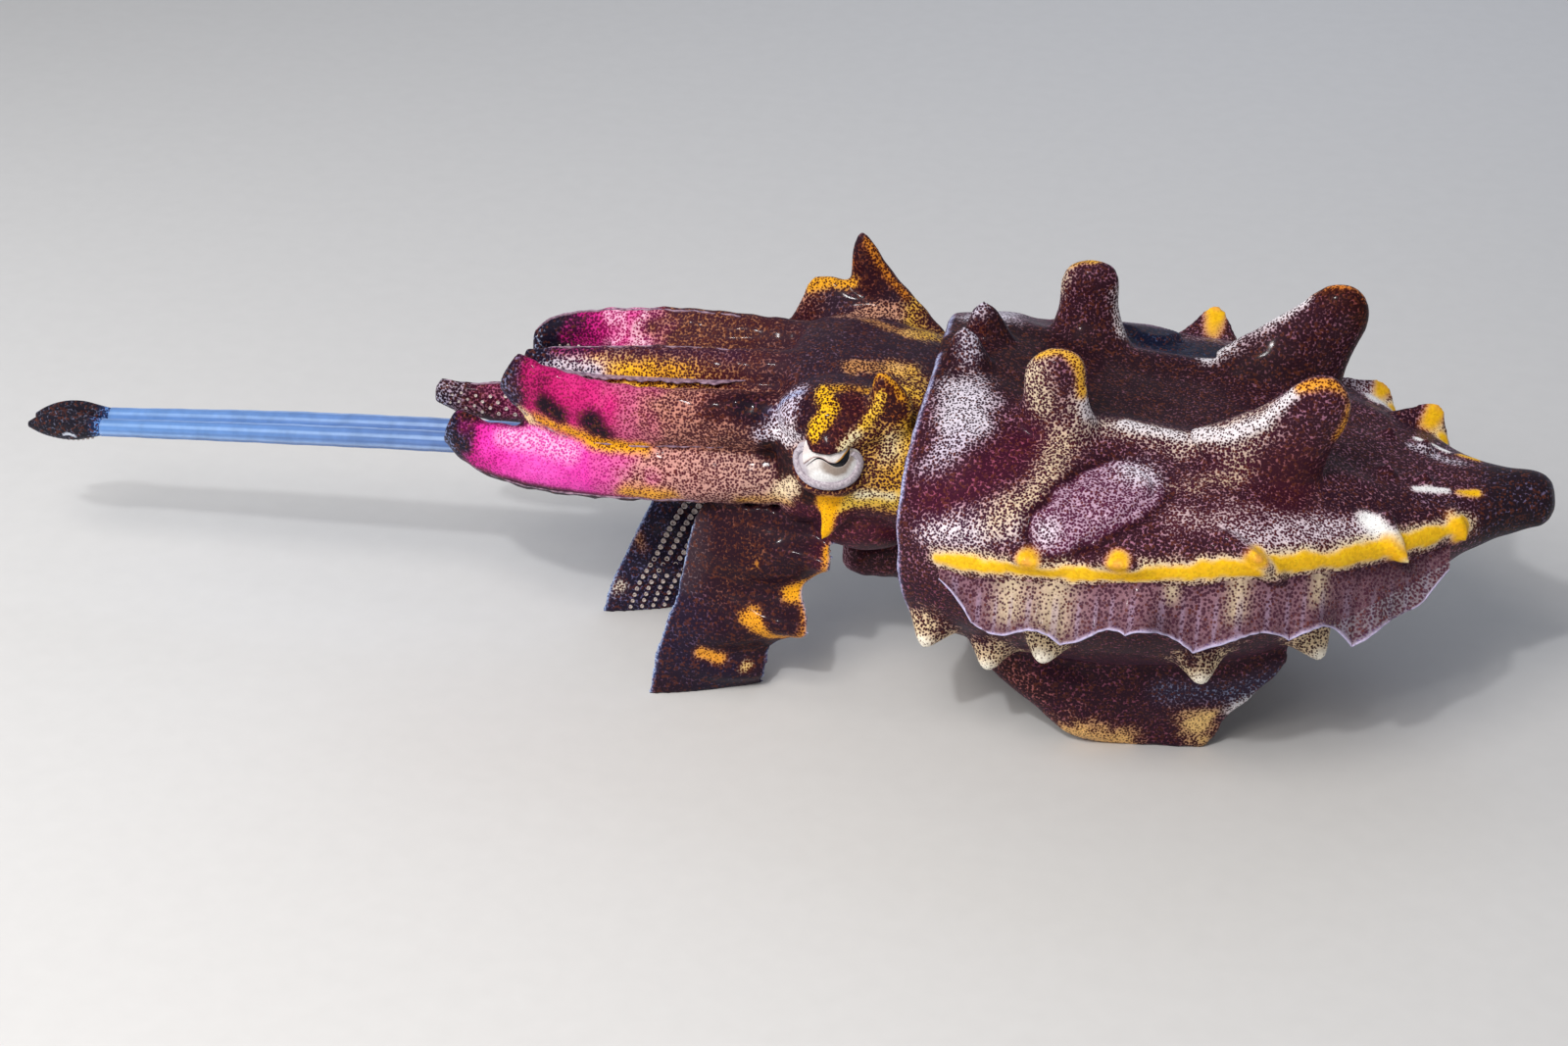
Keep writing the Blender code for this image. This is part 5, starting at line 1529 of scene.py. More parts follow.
@dataclass
class Head:
    """The head with its brows, lids and all eight arms, as one skin."""

    stations: tuple = (-14.0, -11.5, -8.0, -4.0, 0.0, 2.9)
    half_width: tuple = (10.9, 12.0, 12.6, 12.4, 12.2, 12.4)
    top: tuple = (34.8, 35.0, 34.9, 34.2, 33.2, 32.8)
    side_height: tuple = (26.0, 26.2, 26.2, 25.6, 24.6, 24.2)
    belly: tuple = (15.4, 16.2, 16.9, 17.0, 16.6, 16.6)
    roundness: float = 0.86
    eye: tuple = (-9.5, 11.2, 28.0)
    eye_radius: float = 3.5
    upper_lid: tuple = (
        (-86, 36), (-66, 47), (-52, 45), (-38, 36), (-24, 27), (-10, 25), (4, 25), (16, 27), (42, 34),
        (61, 33), (86, 22),
    )
    lower_lid: tuple = ((-88, -12), (-60, -27), (-30, -37), (0, -41), (30, -38), (60, -26), (88, -8))
    swellings: tuple = (
        ((-9.3, 8.2, 28.4), (6.4, 4.9, 5.9)), ((-9.2, 8.8, 31.1), (6.0, 4.9, 3.5)),
        ((-6.8, 6.4, 19.3), (5.8, 4.8, 3.5)),
    )
    voxel: float = 0.289
    smoothing: int = 6
    bumps: tuple = (
        Papilla(
            (
                (-5.8, 9, 29.4, 4.4, 2.4), (-5, 9.9, 31.2, 3.3, 1.8), (-4.3, 10.5, 32.8, 2.6, 1.3),
                (-3.9, 10.8, 34.4, 2.1, 1.1), (-4.2, 10.95, 35.8, 1.5, 0.9), (-4.6, 11, 36.8, 0.8, 0.6),
            ),
            (-4.8, 11, 37.3), sides=(LEFT,),
        ),
        Papilla(
            (
                (-7, 8.8, 30, 6, 2.4), (-8.1, 9.4, 32.6, 4.8, 1.9), (-9, 9.8, 35, 3.6, 1.6),
                (-9.4, 10, 37.4, 2.1, 1.2), (-10, 10, 39.8, 1.3, 0.9), (-10.3, 10, 41.2, 0.7, 0.55),
            ),
            (-10.4, 10, 41.9), sides=(RIGHT,),
        ),
        Papilla(
            (
                (-12, 8.8, 30, 8.4, 2.8), (-12.4, 9.1, 32, 6.8, 2.2), (-13, 9.4, 33.8, 4.8, 1.7),
                (-13.8, 9.6, 35.2, 2.8, 1.2), (-14.4, 9.65, 36.1, 1.5, 0.8),
            ),
            (-15, 9.7, 36.7), sides=(RIGHT,),
        ),
        Papilla(
            (
                (-7.2, 9, 26, 4.6, 2.4), (-7.9, 10.2, 24, 3.1, 1.5), (-8.7, 11.4, 22.2, 1.9, 1),
                (-9.4, 12, 20.8, 1, 0.65), (-9.9, 12.3, 19.6, 0.5, 0.35),
            ),
            (-10.2, 12.4, 18.8),
        ),
    )

    def ring(self, x: float, around: int) -> Array:
        """Returns the head's section at a station."""
        lines = (self.half_width, self.top, self.side_height, self.belly)
        width, top, side, belly = (measure(self.stations, line, x) for line in lines)
        angles = spokes(around)
        cosine, sine = np.cos(angles), np.sin(angles)
        reach = np.where(sine > 0, top - side, side - belly)
        y = width * flattened(cosine, self.roundness)
        z = side + reach * flattened(sine, self.roundness)
        return np.stack([np.full(around, x), y, z], axis=1)

    def on_eye(self, side: Side, azimuth: Array, height: Array, radius: Array) -> Array:
        """Returns a place round an eye, by angles in degrees behind square and above level."""
        turn, rise = np.radians(azimuth), np.radians(height)
        away = np.stack([np.sin(turn) * np.cos(rise), np.cos(turn) * np.cos(rise), np.sin(rise)], axis=-1)
        return (self.eye + away * np.asarray(radius)[..., None]) * side.mirror

    def add_skull(self, bm: BMesh) -> None:
        """Adds the head's main body, with a rounded front among the arms."""
        rings = []
        for share in (0.5, 0.8, 0.95):
            ring = self.ring(self.stations[0], 96)
            centre = np.array((-14.0, 0.0, 25.0))
            ring = centre + (ring - centre) * share
            ring[:, 0] = -14.0 - 2.4 * math.sqrt(1 - share**2)
            rings.append(ring)
        rings += [self.ring(x, 96) for x in np.linspace(-14.0, self.stations[-1], 60)]
        loft(bm, rings, (-16.4, 0, 25.0), (self.stations[-1], 0, 25.0))

    def add_swelling(self, bm: BMesh, middle: Array, radii: tuple) -> None:
        """Adds a round swelling of the head.

        Args:
            bm: the bmesh that takes it.
            middle: its middle.
            radii: its half sizes along x, y and z.
        """
        rings = []
        for height in np.radians(np.linspace(-80, 80, 30)):
            reach = math.cos(height)
            heart = middle + (0, 0, radii[2] * math.sin(height))
            rings.append(oval(heart, (radii[0] * reach, 0, 0), (0, radii[1] * reach, 0), spokes(48)))
        loft(bm, rings, middle - (0, 0, radii[2]), middle + (0, 0, radii[2]))

    def add_lid(self, bm: BMesh, side: Side, edge: tuple, end: float, thick: tuple) -> None:
        """Adds one lid as a shell over the eyeball.

        Args:
            bm: the bmesh that takes it.
            side: the eye's side.
            edge: its free edge, as (degrees behind square, degrees above level).
            end: the height in degrees where the shell ends under the dome.
            thick: its thickness in mm at the edge and at the end.
        """
        knots = np.array(edge)
        turns = np.linspace(knots[0, 0], knots[-1, 0], 64)
        rings = []
        for turn, low in zip(turns, hermite(knots[:, 0], knots[:, 1:], turns)[:, 0]):
            share = np.linspace(0.0, 1.0, 14)
            heights = low + (end - low) * share
            wall = thick[0] + (thick[1] - thick[0]) * share
            inner = self.on_eye(side, np.full(14, turn), heights, np.full(14, self.eye_radius + 0.1))
            outer = self.on_eye(side, np.full(14, turn), heights, self.eye_radius + 0.1 + wall)
            rings.append(np.concatenate([outer, inner[::-1]]))
        loft(bm, rings)

    def add_lids(self, bm: BMesh, side: Side) -> None:
        """Adds the upper lid, drawn down in the middle, and the low roll of skin under the eye."""
        self.add_lid(bm, side, self.upper_lid, 80.0, (0.55, 1.0))
        self.add_lid(bm, side, self.lower_lid, -84.0, (0.5, 0.9))

    def build(self, skin: Material) -> None:
        """Builds and dresses the skin, in place of the head's and arms' solids."""
        bm = bmesh.new()
        self.add_skull(bm)
        for side in Side:
            for middle, radii in self.swellings:
                self.add_swelling(bm, middle * side.mirror, radii)
            self.add_lids(bm, side)
        for bump in self.bumps:
            bump.add(bm)
        for arm in ARMS:
            arm.add(bm)
        for first, second, end in WEBS:
            add_web(bm, ARMS[first], ARMS[second], end)
        for leg in LEGS:
            leg.add(bm)
        obj = melted("head_skin", bm, self.voxel, self.smoothing)
        points, normals = vertex_data(obj.data)
        paint = Paint(points)
        self.ground(paint)
        paint.apply(self.marks())
        paint.lift += 0.04 * ripple(points, 2.2, 17) * smoothstep(1.5, 3.0, points[:, 2])
        paint.keep(obj.data, normals)
        finish_piece(obj, skin, ("head", *(limb.name for limb in ARMS + LEGS)))

    def ground(self, paint: Paint) -> None:
        """Lays the ground colours of the head, of each arm and of the legs."""
        x, y, z = paint.points.T
        paint.blend(1.0, "#c08458", "#3c161e", 0.74)
        top = smoothstep(31.6, 32.8, z)
        paint.blend(top, "#6a5064", "#2c1c28", 0.9)
        under = smoothstep(22.9, 21.7, z)
        paint.blend(under, "#9a4c60", "#3e1828", 0.86)
        nearness = np.stack([arm.closeness(paint.points) for arm in ARMS], axis=1)
        nearest = nearness.argmin(axis=1)
        ahead = smoothstep(-12.6, -16.0, x)
        above = smoothstep(19.3, 20.6, z)
        for number, arm in enumerate(ARMS):
            arm.dress(paint, (nearest == number) * ahead * above)
        legs = smoothstep(-10.0, -12.5, x) * smoothstep(20.6, 19.3, z)
        paint.blend(legs, "#663c48", "#281520", 0.93)
        far_leg = legs * smoothstep(-2.0, 2.0, y)
        paint.blend(far_leg, "#6d6a94", "#241e30", 0.86)

    def marks(self) -> list[Mark]:
        """Returns the head's and arms' pattern, with painted highlights among its marks and painted rim light
        along the legs' edges.
        """
        marks = list(HEAD_MARKS)
        for leg in LEGS:
            heights, fronts, rears, _ = leg.section(48)
            # Painted rim light: pale blue lines down each leg's front and rear edges.
            for line, back in ((fronts, 0.0), (rears, 1.0)):
                path = tuple((x, y + leg.curl(z, back), z) for (x, y), z in zip(line, heights))[:-6]
                marks.append(Mark(path, 0.36, "#9fb4dc", "#4a5a8a", 0.2, soft=0.7, side=leg.side))
        return marks


# ---------------------------------------------------------------- eyes


@dataclass
class Eye:
    """One eye: a pearly ball with a W-shaped pupil, a white iris flap over it and a clear ring of flesh."""

    head: Head
    side: Side
    pupil: tuple = (
        (-32, 1, 0.5), (-24, 10, 0.9), (-15, 18, 1.2), (-7, 19.5, 1.3), (1, 17, 1.4), (8, 13, 1.6),
        (16, 10.8, 3.2), (24, 12.8, 6), (31, 17.4, 8.4), (38, 23.4, 8.2), (43, 29, 5.2), (46, 33, 1.4),
    )
    ball_around: int = 96
    ring_angles: tuple = (-222.0, 38.0)

    def at(self, azimuth: Array, height: Array, lift: Array | float) -> Array:
        """Returns places over the eyeball by their angles and how far they stand off it."""
        radius = self.head.eye_radius + np.asarray(lift) + 0 * azimuth
        return self.head.on_eye(self.side, azimuth, height, radius)

    def slit(self, share: Array) -> tuple[Array, Array, Array]:
        """Returns azimuth, height and half thickness along the pupil."""
        keys = hermite(np.arange(len(self.pupil)), self.pupil, share * (len(self.pupil) - 1))
        return keys[:, 0], keys[:, 1], np.maximum(keys[:, 2], 0.3)

    def add_ball(self, bm: BMesh) -> None:
        """Adds the eyeball."""
        heights = np.linspace(-86, 86, 60)
        turn = np.degrees(spokes(self.ball_around))
        rings = np.array([self.at(turn, np.full(self.ball_around, height), 0.0) for height in heights])
        foot, crown = (self.at(np.zeros(1), np.full(1, height), 0.0)[0] for height in (-90.0, 90.0))
        loft(bm, rings, foot, crown)

    def add_pupil(self, bm: BMesh) -> None:
        """Adds the dark pupil, just proud of the ball."""

        def surface(along: Array, over: Array) -> Array:
            turn, height, half = self.slit(along)
            return self.at(turn, height + (over * 2 - 1) * half, 0.02)

        sheet(bm, surface, 80, 6)

    def add_flap(self, bm: BMesh) -> None:
        """Adds the white iris flap whose lower edge draws the pupil's upper line."""

        def surface(along: Array, over: Array) -> Array:
            turn, height, half = self.slit(along)
            spread = turn * (1 + 0.35 * over) + (along - 0.45) * 14
            low = height + half * 0.95
            high = 62 - 0.006 * spread**2
            swell = 0.05 + 0.22 * np.sqrt(over) + 0.03 * np.sin(spread * 0.35 + over * 5)
            return self.at(spread, low + (high - low) * over, swell)

        sheet(bm, surface, 90, 24)

    def add_ring(self, bm: BMesh) -> None:
        """Adds the clear ring of flesh round the lower part of the eye."""
        angles = np.radians(np.linspace(*self.ring_angles, 90))
        rings = []
        for number, angle in enumerate(angles):
            taper = math.sin(math.pi * (number + 3) / 96) ** 0.35
            spread = 1.0 + 0.025 * math.sin(angle * 5)
            place = (60.0 * spread * math.cos(angle), 35.0 * spread * math.sin(angle) + 3.0)
            centre = self.at(np.full(1, place[0]), np.full(1, place[1]), 0.12)[0]
            out = unit(centre - self.head.eye * self.side.mirror)
            away = unit(np.cross(out, np.cross((math.cos(angle), 0.0, math.sin(angle)), out)))
            rings.append(oval(centre, out * 0.34 * taper, away * 0.55 * taper, spokes(16)))
        loft(bm, rings)

    def colour_ball(self, mesh: Mesh) -> None:
        """Paints the ball white below, with a grey-brown iris band under the pupil."""
        points, _ = vertex_data(mesh)
        offset = (points - self.head.eye * self.side.mirror) / self.head.eye_radius
        height = np.degrees(np.arcsin(np.clip(offset[:, 2], -1, 1)))
        turn = np.degrees(np.arctan2(offset[:, 0], offset[:, 1] * self.side.value))
        keys = np.array(self.pupil)
        line = np.interp(turn, keys[:, 0], keys[:, 1] - keys[:, 2])
        grain = ripple(points, 0.8, 5)
        band = smoothstep(-19, -13, height - line + 2 * grain) * smoothstep(2, -2, height - line)
        band = band * smoothstep(-14, 2, turn) * smoothstep(58, 48, turn)
        dusk = smoothstep(-22, -34, turn + 3 * grain)
        white = smoothstep(-17, -23, height - line + grain) * smoothstep(-34, -20, turn)
        layers = (("#8f7a6a", 0.85 * band), ("#a89cb0", 0.6 * dusk), ("#ffffff", white))
        store(mesh, "tint", layered("#e9e4e2", *layers))

    def colour_flap(self, mesh: Mesh) -> None:
        """Paints the flap white, with a thin gold edge by the wide end of the pupil."""
        points, _ = vertex_data(mesh)
        share = np.linspace(0.0, 1.0, 60)
        turn, height, half = self.slit(share)
        edge = self.at(turn + (share - 0.45) * 14, height + half * 0.95, 0.08)
        gap, along = path_distance(points, edge)
        rosy = smoothstep(0.5, 1.1, gap) * smoothstep(1.9, 1.3, gap)
        gold = smoothstep(0.26, 0.12, gap) * smoothstep(0.5, 0.6, along)
        red = smoothstep(0.13, 0.05, gap) * smoothstep(0.55, 0.45, along)
        layers = (("#d9c6c6", 0.6 * rosy), ("#d99a2c", gold), ("#a0402c", 0.85 * red))
        store(mesh, "tint", layered("#efe9e8", *layers))

    def build(self, pearl: Material, dark: Material, clear: Material) -> None:
        """Builds and dresses the eye, in place of its ball in the solids."""
        name = f"eye_{self.side.label}"
        parts = (
            ("ball", self.add_ball, pearl, self.colour_ball),
            ("iris_flap", self.add_flap, pearl, self.colour_flap),
            ("pupil", self.add_pupil, dark, None),
            ("ring", self.add_ring, clear, None),
        )
        for part, add, material, colour in parts:
            bm = bmesh.new()
            add(bm)
            obj = new_object(f"{name}_{part}", bm)
            if part in ("iris_flap", "pupil"):
                turn_outwards(obj, self.head.eye * self.side.mirror)
                thicken(obj, 0.12 if part == "iris_flap" else 0.03, -1.0)
            if colour:
                colour(obj.data)
            finish_piece(obj, material, (name,))


# ---------------------------------------------------------------- fins


@dataclass
class Fin:
    """One thin, see-through fin that hangs from the yellow stripe in scallops."""

    mantle: Mantle
    side: Side
    stations: tuple = (2.6, 8.7, 12.3, 16.5, 21.4, 24.7, 29.6, 34.0, 37.9, 42.1, 46.4, 49.6)
    drop: tuple = (1.6, 6.2, 5.0, 6.0, 4.4, 6.4, 6.9, 5.9, 6.0, 7.2, 5.2, 2.2)
    reach: tuple = (0.9, 2.2, 3.3, 2.4, 3.2, 2.2, 2.4, 3.0, 2.6, 3.2, 3.2, 2.6)
    below_stripe: float = 0.75
    sink: float = 0.3
    thickness: float = 0.16
    along: int = 420
    across: int = 26
    scallop: float = 6.9
    patches: tuple = ((9.6, 1.6, 0.9), (13.6, 1.9, 1.0), (30.4, 1.0, 0.8), (24.4, 0.7, 0.5), (37.6, 0.8, 0.7))

    def flank(self, x: Array, z: Array) -> Array:
        """Returns the mantle's half width at stations and heights below the stripe."""
        mantle = self.mantle
        side = hermite(mantle.stations, mantle.flank_height, x)
        depth = side - hermite(mantle.stations, mantle.belly, x)
        sine = (np.clip(side - z, 0.0, None) / depth) ** (1 / mantle.roundness)
        width = hermite(mantle.stations, mantle.half_width, x)
        return width * np.sqrt(np.clip(1 - sine**2, 0.0, 1.0)) ** mantle.roundness

    def surface(self, along: Array, over: Array) -> Array:
        """Returns the fin's points, from root to edge.

        Args:
            along: share of its length from the front.
            over: share of its depth from the root.

        Returns:
            The points.
        """
        x = self.stations[0] + (self.stations[-1] - self.stations[0]) * along
        stripe = hermite(self.mantle.stations, self.mantle.flank_height, x)
        drop = hermite(self.stations, self.drop, x)
        reach = hermite(self.stations, self.reach, x)
        phase = FULL_TURN * x / self.scallop + 0.8 * np.sin(x * 0.31)
        lobe = 1.0 - np.abs(np.sin(phase / 2)) ** 0.75
        ends = smoothstep(0.0, 0.06, along) * smoothstep(1.0, 0.93, along)
        drop = drop * (0.88 + 0.24 * lobe * ends)
        root_z = stripe - self.below_stripe
        root_y = self.flank(x, root_z) - self.sink
        edge_y = self.flank(x, stripe) + reach
        bend = over**1.35
        y = root_y + (edge_y - root_y) * (0.3 * over + 0.7 * bend)
        z = root_z - (drop - self.below_stripe) * (over**0.9)
        fold = np.sin(phase) * 0.6 * over**1.6 * ends
        pleat = np.sin(FULL_TURN * x / 1.3 + 2 * np.sin(x)) * 0.05 * over * ends
        curl = smoothstep(0.88, 1.0, over) * (0.5 - 0.4 * lobe) * ends
        y = y + fold + pleat + curl
        z = z + curl * 0.35 + fold * 0.25
        return np.stack([x + 0.25 * fold, self.side.value * y, z], axis=1)

    def build(self, membrane: Material) -> None:
        """Builds and dresses the fin, in place of its solid."""
        bm = bmesh.new()
        sheet(bm, self.surface, self.along, self.across)
        obj = new_object(f"fin_{self.side.label}_membrane", bm)
        points, _ = vertex_data(obj.data)
        depth, place = self.depths(points)
        paint = Paint(points)
        paint.blend(1.0, "#98707e", "#4a2838", 0.42)
        paint.blend(smoothstep(0.3, 0.0, depth), "#6c4456", "#2c1020", 0.6)
        for middle, wide, deep in self.patches:
            patch = np.exp(-(((place - middle) / wide) ** 2)) * smoothstep(deep + 0.1, deep - 0.25, depth)
            paint.blend(0.75 * patch, "#f0dcb8", "#4a2a30", 0.16)
        rays = smoothstep(0.5, 0.95, np.sin(FULL_TURN * place / 1.9 + 1.5 * np.sin(place * 0.7)))
        paint.blend(0.35 * (rays * smoothstep(0.2, 0.6, depth)), "#c9b6dc", "#3a2038", 0.1)
        edge = smoothstep(0.965, 0.99, depth)
        paint.blend(edge, "#cfc6ea", "#8a7cc0", -0.3)
        paint.keep_colours(obj.data)
        rear = smoothstep(34.0, 44.0, place)
        clear = (0.3 + 0.55 * depth**2 + 0.5 * rear) * (1 - edge) * smoothstep(0.0, 0.15, depth)
        store(obj.data, "clear", np.clip(clear, 0, 1))
        thicken(obj, self.thickness, 0.0)
        finish_piece(obj, membrane, (f"fin_{self.side.label}",))

    def depths(self, points: Array) -> tuple[Array, Array]:
        """Returns each point's share of the way from root to edge, and its station."""
        x = np.clip(points[:, 0], self.stations[0], self.stations[-1])
        along = (x - self.stations[0]) / (self.stations[-1] - self.stations[0])
        shares = np.linspace(0.0, 1.0, 41)
        rows = np.stack([self.surface(along, np.full(len(x), share))[:, 1:] for share in shares])
        gap = np.linalg.norm(rows - points[None, :, 1:], axis=2)
        return gap.argmin(axis=0) / 40.0, x


# ---------------------------------------------------------------- funnel, tentacles and suckers


@dataclass
class Funnel:
    """The breathing funnel under the head: a soft tube with a thin, flared mouth."""

    stations: tuple = (3.0, 0.0, -3.0, -6.0, -8.4, -9.6, -9.9)
    height: tuple = (12.9, 12.7, 12.4, 12.0, 11.5, 11.2, 11.1)
    radius: tuple = (3.2, 3.4, 3.5, 3.3, 2.75, 2.0, 1.6)
    depth: float = 5.0
    stretch: float = 1.15
    around: int = 72

    def build(self, skin: Material) -> None:
        """Builds and dresses the funnel, in place of its solid."""
        rows = smooth_curve(np.stack([self.stations, self.height, self.radius], axis=1), 44)
        rings = []
        angles = spokes(self.around)
        for x, z, radius in rows:
            wrinkle = 1 + 0.012 * np.sin(angles * 7 + x) + 0.01 * np.sin(x * 3.1)
            centre = np.array((x, 0.0, z))
            ring = oval(centre, (0, radius * self.stretch, 0), (0, 0, radius), angles)
            rings.append(centre + (ring - centre) * wrinkle[:, None])
        mouth = rows[-1]
        for share, size in ((0.0, 0.93), (0.03, 0.86), (0.3, 0.8), (0.7, 0.76), (1.0, 0.6)):
            centre = np.array((mouth[0] + self.depth * share, 0.0, mouth[1]))
            radius = mouth[2] * size
            rings.append(oval(centre, (0, radius * self.stretch, 0), (0, 0, radius), angles))
        obj = lofted("funnel_tube", rings, (self.stations[0], 0, self.height[0]))
        points, normals = vertex_data(obj.data)
        paint = Paint(points)
        paint.blend(1.0, "#96586a", "#341622", 0.82)
        mouth_edge = smoothstep(1.6, 0.4, np.abs(points[:, 0] - mouth[0]))
        paint.blend(mouth_edge, "#b48494", "#5a2c3c", 0.5)
        # Painted shade: the inward-facing skin of the funnel's mouth is painted darker.
        outward = normals[:, 1] * points[:, 1] + normals[:, 2] * (points[:, 2] - mouth[1])
        paint.blend(smoothstep(-0.2, -0.6, outward), "#6a3a44", "#200c12", 0.8)
        paint.keep(obj.data, normals)
        finish_piece(obj, skin, ("funnel",))


@dataclass
class Tentacle:
    """One shot-out feeding tentacle: a clear, muscular stalk and a club of suckers at its end."""

    side: Side
    path: tuple = (
        (-11, 1.7, 20.6), (-14.3, 1.6, 20.4), (-32, 1.5, 20.3), (-50, 1.4, 19.8), (-68, 1.4, 18.9),
        (-88.9, 1.25, 17.5),
    )
    radius: tuple = (1.2, 1.2, 1.15, 1.1, 1.08, 0.95)
    club_tip: tuple = (-97.4, 1.0, 16.9)
    club_shares: tuple = (0.0, 0.12, 0.35, 0.62, 0.85, 1.0)
    club_half_height: tuple = (0.9, 1.15, 1.55, 1.45, 0.9, 0.25)
    club_half_depth: tuple = (0.85, 0.85, 0.9, 0.8, 0.55, 0.2)
    around: int = 48

    def build_stalk(self, muscle: Material) -> None:
        """Builds the stalk in place of its two lengths."""
        turn = self.side.mirror
        keys = np.array(self.path)
        centres = smooth_curve(keys, 170) * turn
        radii = np.interp(-centres[:, 0], -keys[:, 0], self.radius)
        angles = spokes(self.around)
        rings = []
        for centre, radius in zip(centres, radii):
            ripple_here = 1 + 0.015 * math.sin(centre[0] * 0.9) + 0.01 * math.sin(centre[0] * 2.3)
            groove = 1 - 0.05 * np.cos(angles * 6) ** 8
            ring = oval(centre, (0, radius, 0), (0, 0, radius), angles)
            rings.append(centre + (ring - centre) * (groove * ripple_here)[:, None])
        obj = lofted(f"tentacle_{self.side.label}_stalk", rings, centres[0], centres[-1])
        points, _ = vertex_data(obj.data)
        centre = np.stack([np.interp(-points[:, 0], -centres[:, 0], centres[:, i]) for i in (1, 2)], axis=1)
        angle = np.arctan2(points[:, 2] - centre[:, 1], points[:, 1] - centre[:, 0])
        band = smoothstep(0.1, 0.8, np.sin(angle * 6 + 0.4 * np.sin(points[:, 0] * 0.12)))
        fine = smoothstep(0.2, 0.9, np.sin(angle * 17 + 1.0))
        deep = smoothstep(-40.0, -88.0, points[:, 0])
        layers = (("#a9c4ee", 0.7 * band), ("#40609e", 0.35 * fine * (1 - band)), ("#6ba2e2", 0.45 * deep))
        store(obj.data, "tint", layered("#5f7db8", *layers))
        side = self.side.label
        finish_piece(obj, muscle, (f"tentacle_{side}_a", f"tentacle_{side}_b"))

    def build_club(self, skin: Material) -> None:
        """Builds the club, flattened and pointed, with a low keel on its back."""
        turn = self.side.mirror
        root, tip = np.array(self.path[-1]) - (0.1, 0, 0), np.array(self.club_tip)
        shares = np.linspace(0.0, 0.985, 90)
        high = hermite(self.club_shares, self.club_half_height, shares)
        deep = hermite(self.club_shares, self.club_half_depth, shares)
        rings = []
        angles = spokes(60)
        for share, up, out in zip(shares, high, deep):
            centre = (root + (tip - root) * share) * turn
            ring = oval(centre, (0, out, 0), (0, 0, up), angles)
            keel = 0.25 * np.maximum(0.0, np.cos(angles - math.pi * 0.5)) ** 8 * math.sin(math.pi * share)
            ring[:, 2] += keel
            rings.append(ring)
        obj = lofted(f"club_{self.side.label}_pad", rings, root * turn, tip * turn)
        points, normals = vertex_data(obj.data)
        paint = Paint(points)
        paint.blend(1.0, "#5c5e72", "#1d1a24", 0.88)
        # Painted glint: the club's base is painted blue where its iridescent skin glints.
        paint.blend(smoothstep(-90.6, -88.8, points[:, 0]), "#5f90d8", "#1c2c54", 0.5)
        paint.blend(smoothstep(16.6, 15.8, points[:, 2]), "#74768a", "#22202c", 0.74)
        hook = ((-93.1, -2.0, 16.5), (-92.6, -2.0, 16.75), (-91.9, -2.0, 16.55), (-91.6, -2.0, 15.8))
        paint.apply([Mark(hook, 0.16, "#d4dae8", "#8a8c9c", -0.3, 0.08, soft=0.5)])
        paint.keep(obj.data, normals)
        finish_piece(obj, skin, (f"club_{self.side.label}",))

    def sucker_places(self) -> Places:
        """Lists the club's suckers as (root, outward direction, radius in mm)."""
        places = []
        root, tip = np.array(self.path[-1]), np.array(self.club_tip)
        for number in range(12):
            share = 0.16 + 0.78 * number / 12
            halves = (self.club_half_height, self.club_half_depth)
            high, deep = (measure(self.club_shares, half, share) for half in halves)
            for row in range(4):
                angle = math.radians(-100 - 24 * row)
                centre = root + (tip - root) * (share + 0.02 * (row % 2))
                rim = np.array((0.0, deep * math.cos(angle), high * math.sin(angle)))
                normal = unit((0.0, math.cos(angle) / deep, math.sin(angle) / high))
                size = 0.26 if number in (3, 4, 5) and row in (1, 2) else 0.17
                place, out = (centre + rim) * self.side.mirror, normal * self.side.mirror
                places.append((place, out, size * (1.1 - 0.5 * share)))
        return places


def add_sucker(bm: BMesh, root: Array, normal: Array, radius: float) -> None:
    """Adds one sucker: a short stalk and a cup with a raised rim.

    Args:
        bm: the bmesh that takes it.
        root: where it grows, in mm.
        normal: the direction that it faces.
        radius: its rim's radius in mm.
    """
    made = bmesh.ops.create_cone(
        bm, cap_ends=True, segments=9, radius1=radius * 0.6 * MM, radius2=radius * MM, depth=radius * 1.5 * MM
    )
    faces = (face for vertex in made["verts"] for face in vertex.link_faces)
    top = max(faces, key=lambda face: face.calc_center_median().z)
    rim = bmesh.ops.inset_region(bm, faces=[top], thickness=radius * 0.3 * MM, depth=0.0)
    cup = bmesh.ops.inset_region(bm, faces=[top], thickness=radius * 0.12 * MM, depth=-radius * 0.5 * MM)
    inner = {vertex for part in (rim, cup) for face in part["faces"] for vertex in face.verts}
    verts = list(set(made["verts"]) | inner)
    turn = Vector((0, 0, 1)).rotation_difference(Vector(normal)).to_matrix()
    bmesh.ops.rotate(bm, verts=verts, matrix=turn)
    bmesh.ops.translate(bm, verts=verts, vec=Vector(placed(root + normal * radius * 0.45)))


def build_suckers(name: str, places: Places, material: Material) -> None:
    """Builds all the suckers of one limb as one piece.

    Args:
        name: the piece's name.
        places: root, outward direction and radius of each.
        material: their finish.
    """
    bm = bmesh.new()
    for root, normal, radius in places:
        add_sucker(bm, np.asarray(root), np.asarray(normal), radius)
    finish_piece(new_object(name, bm), material)


# ---------------------------------------------------------------- stage


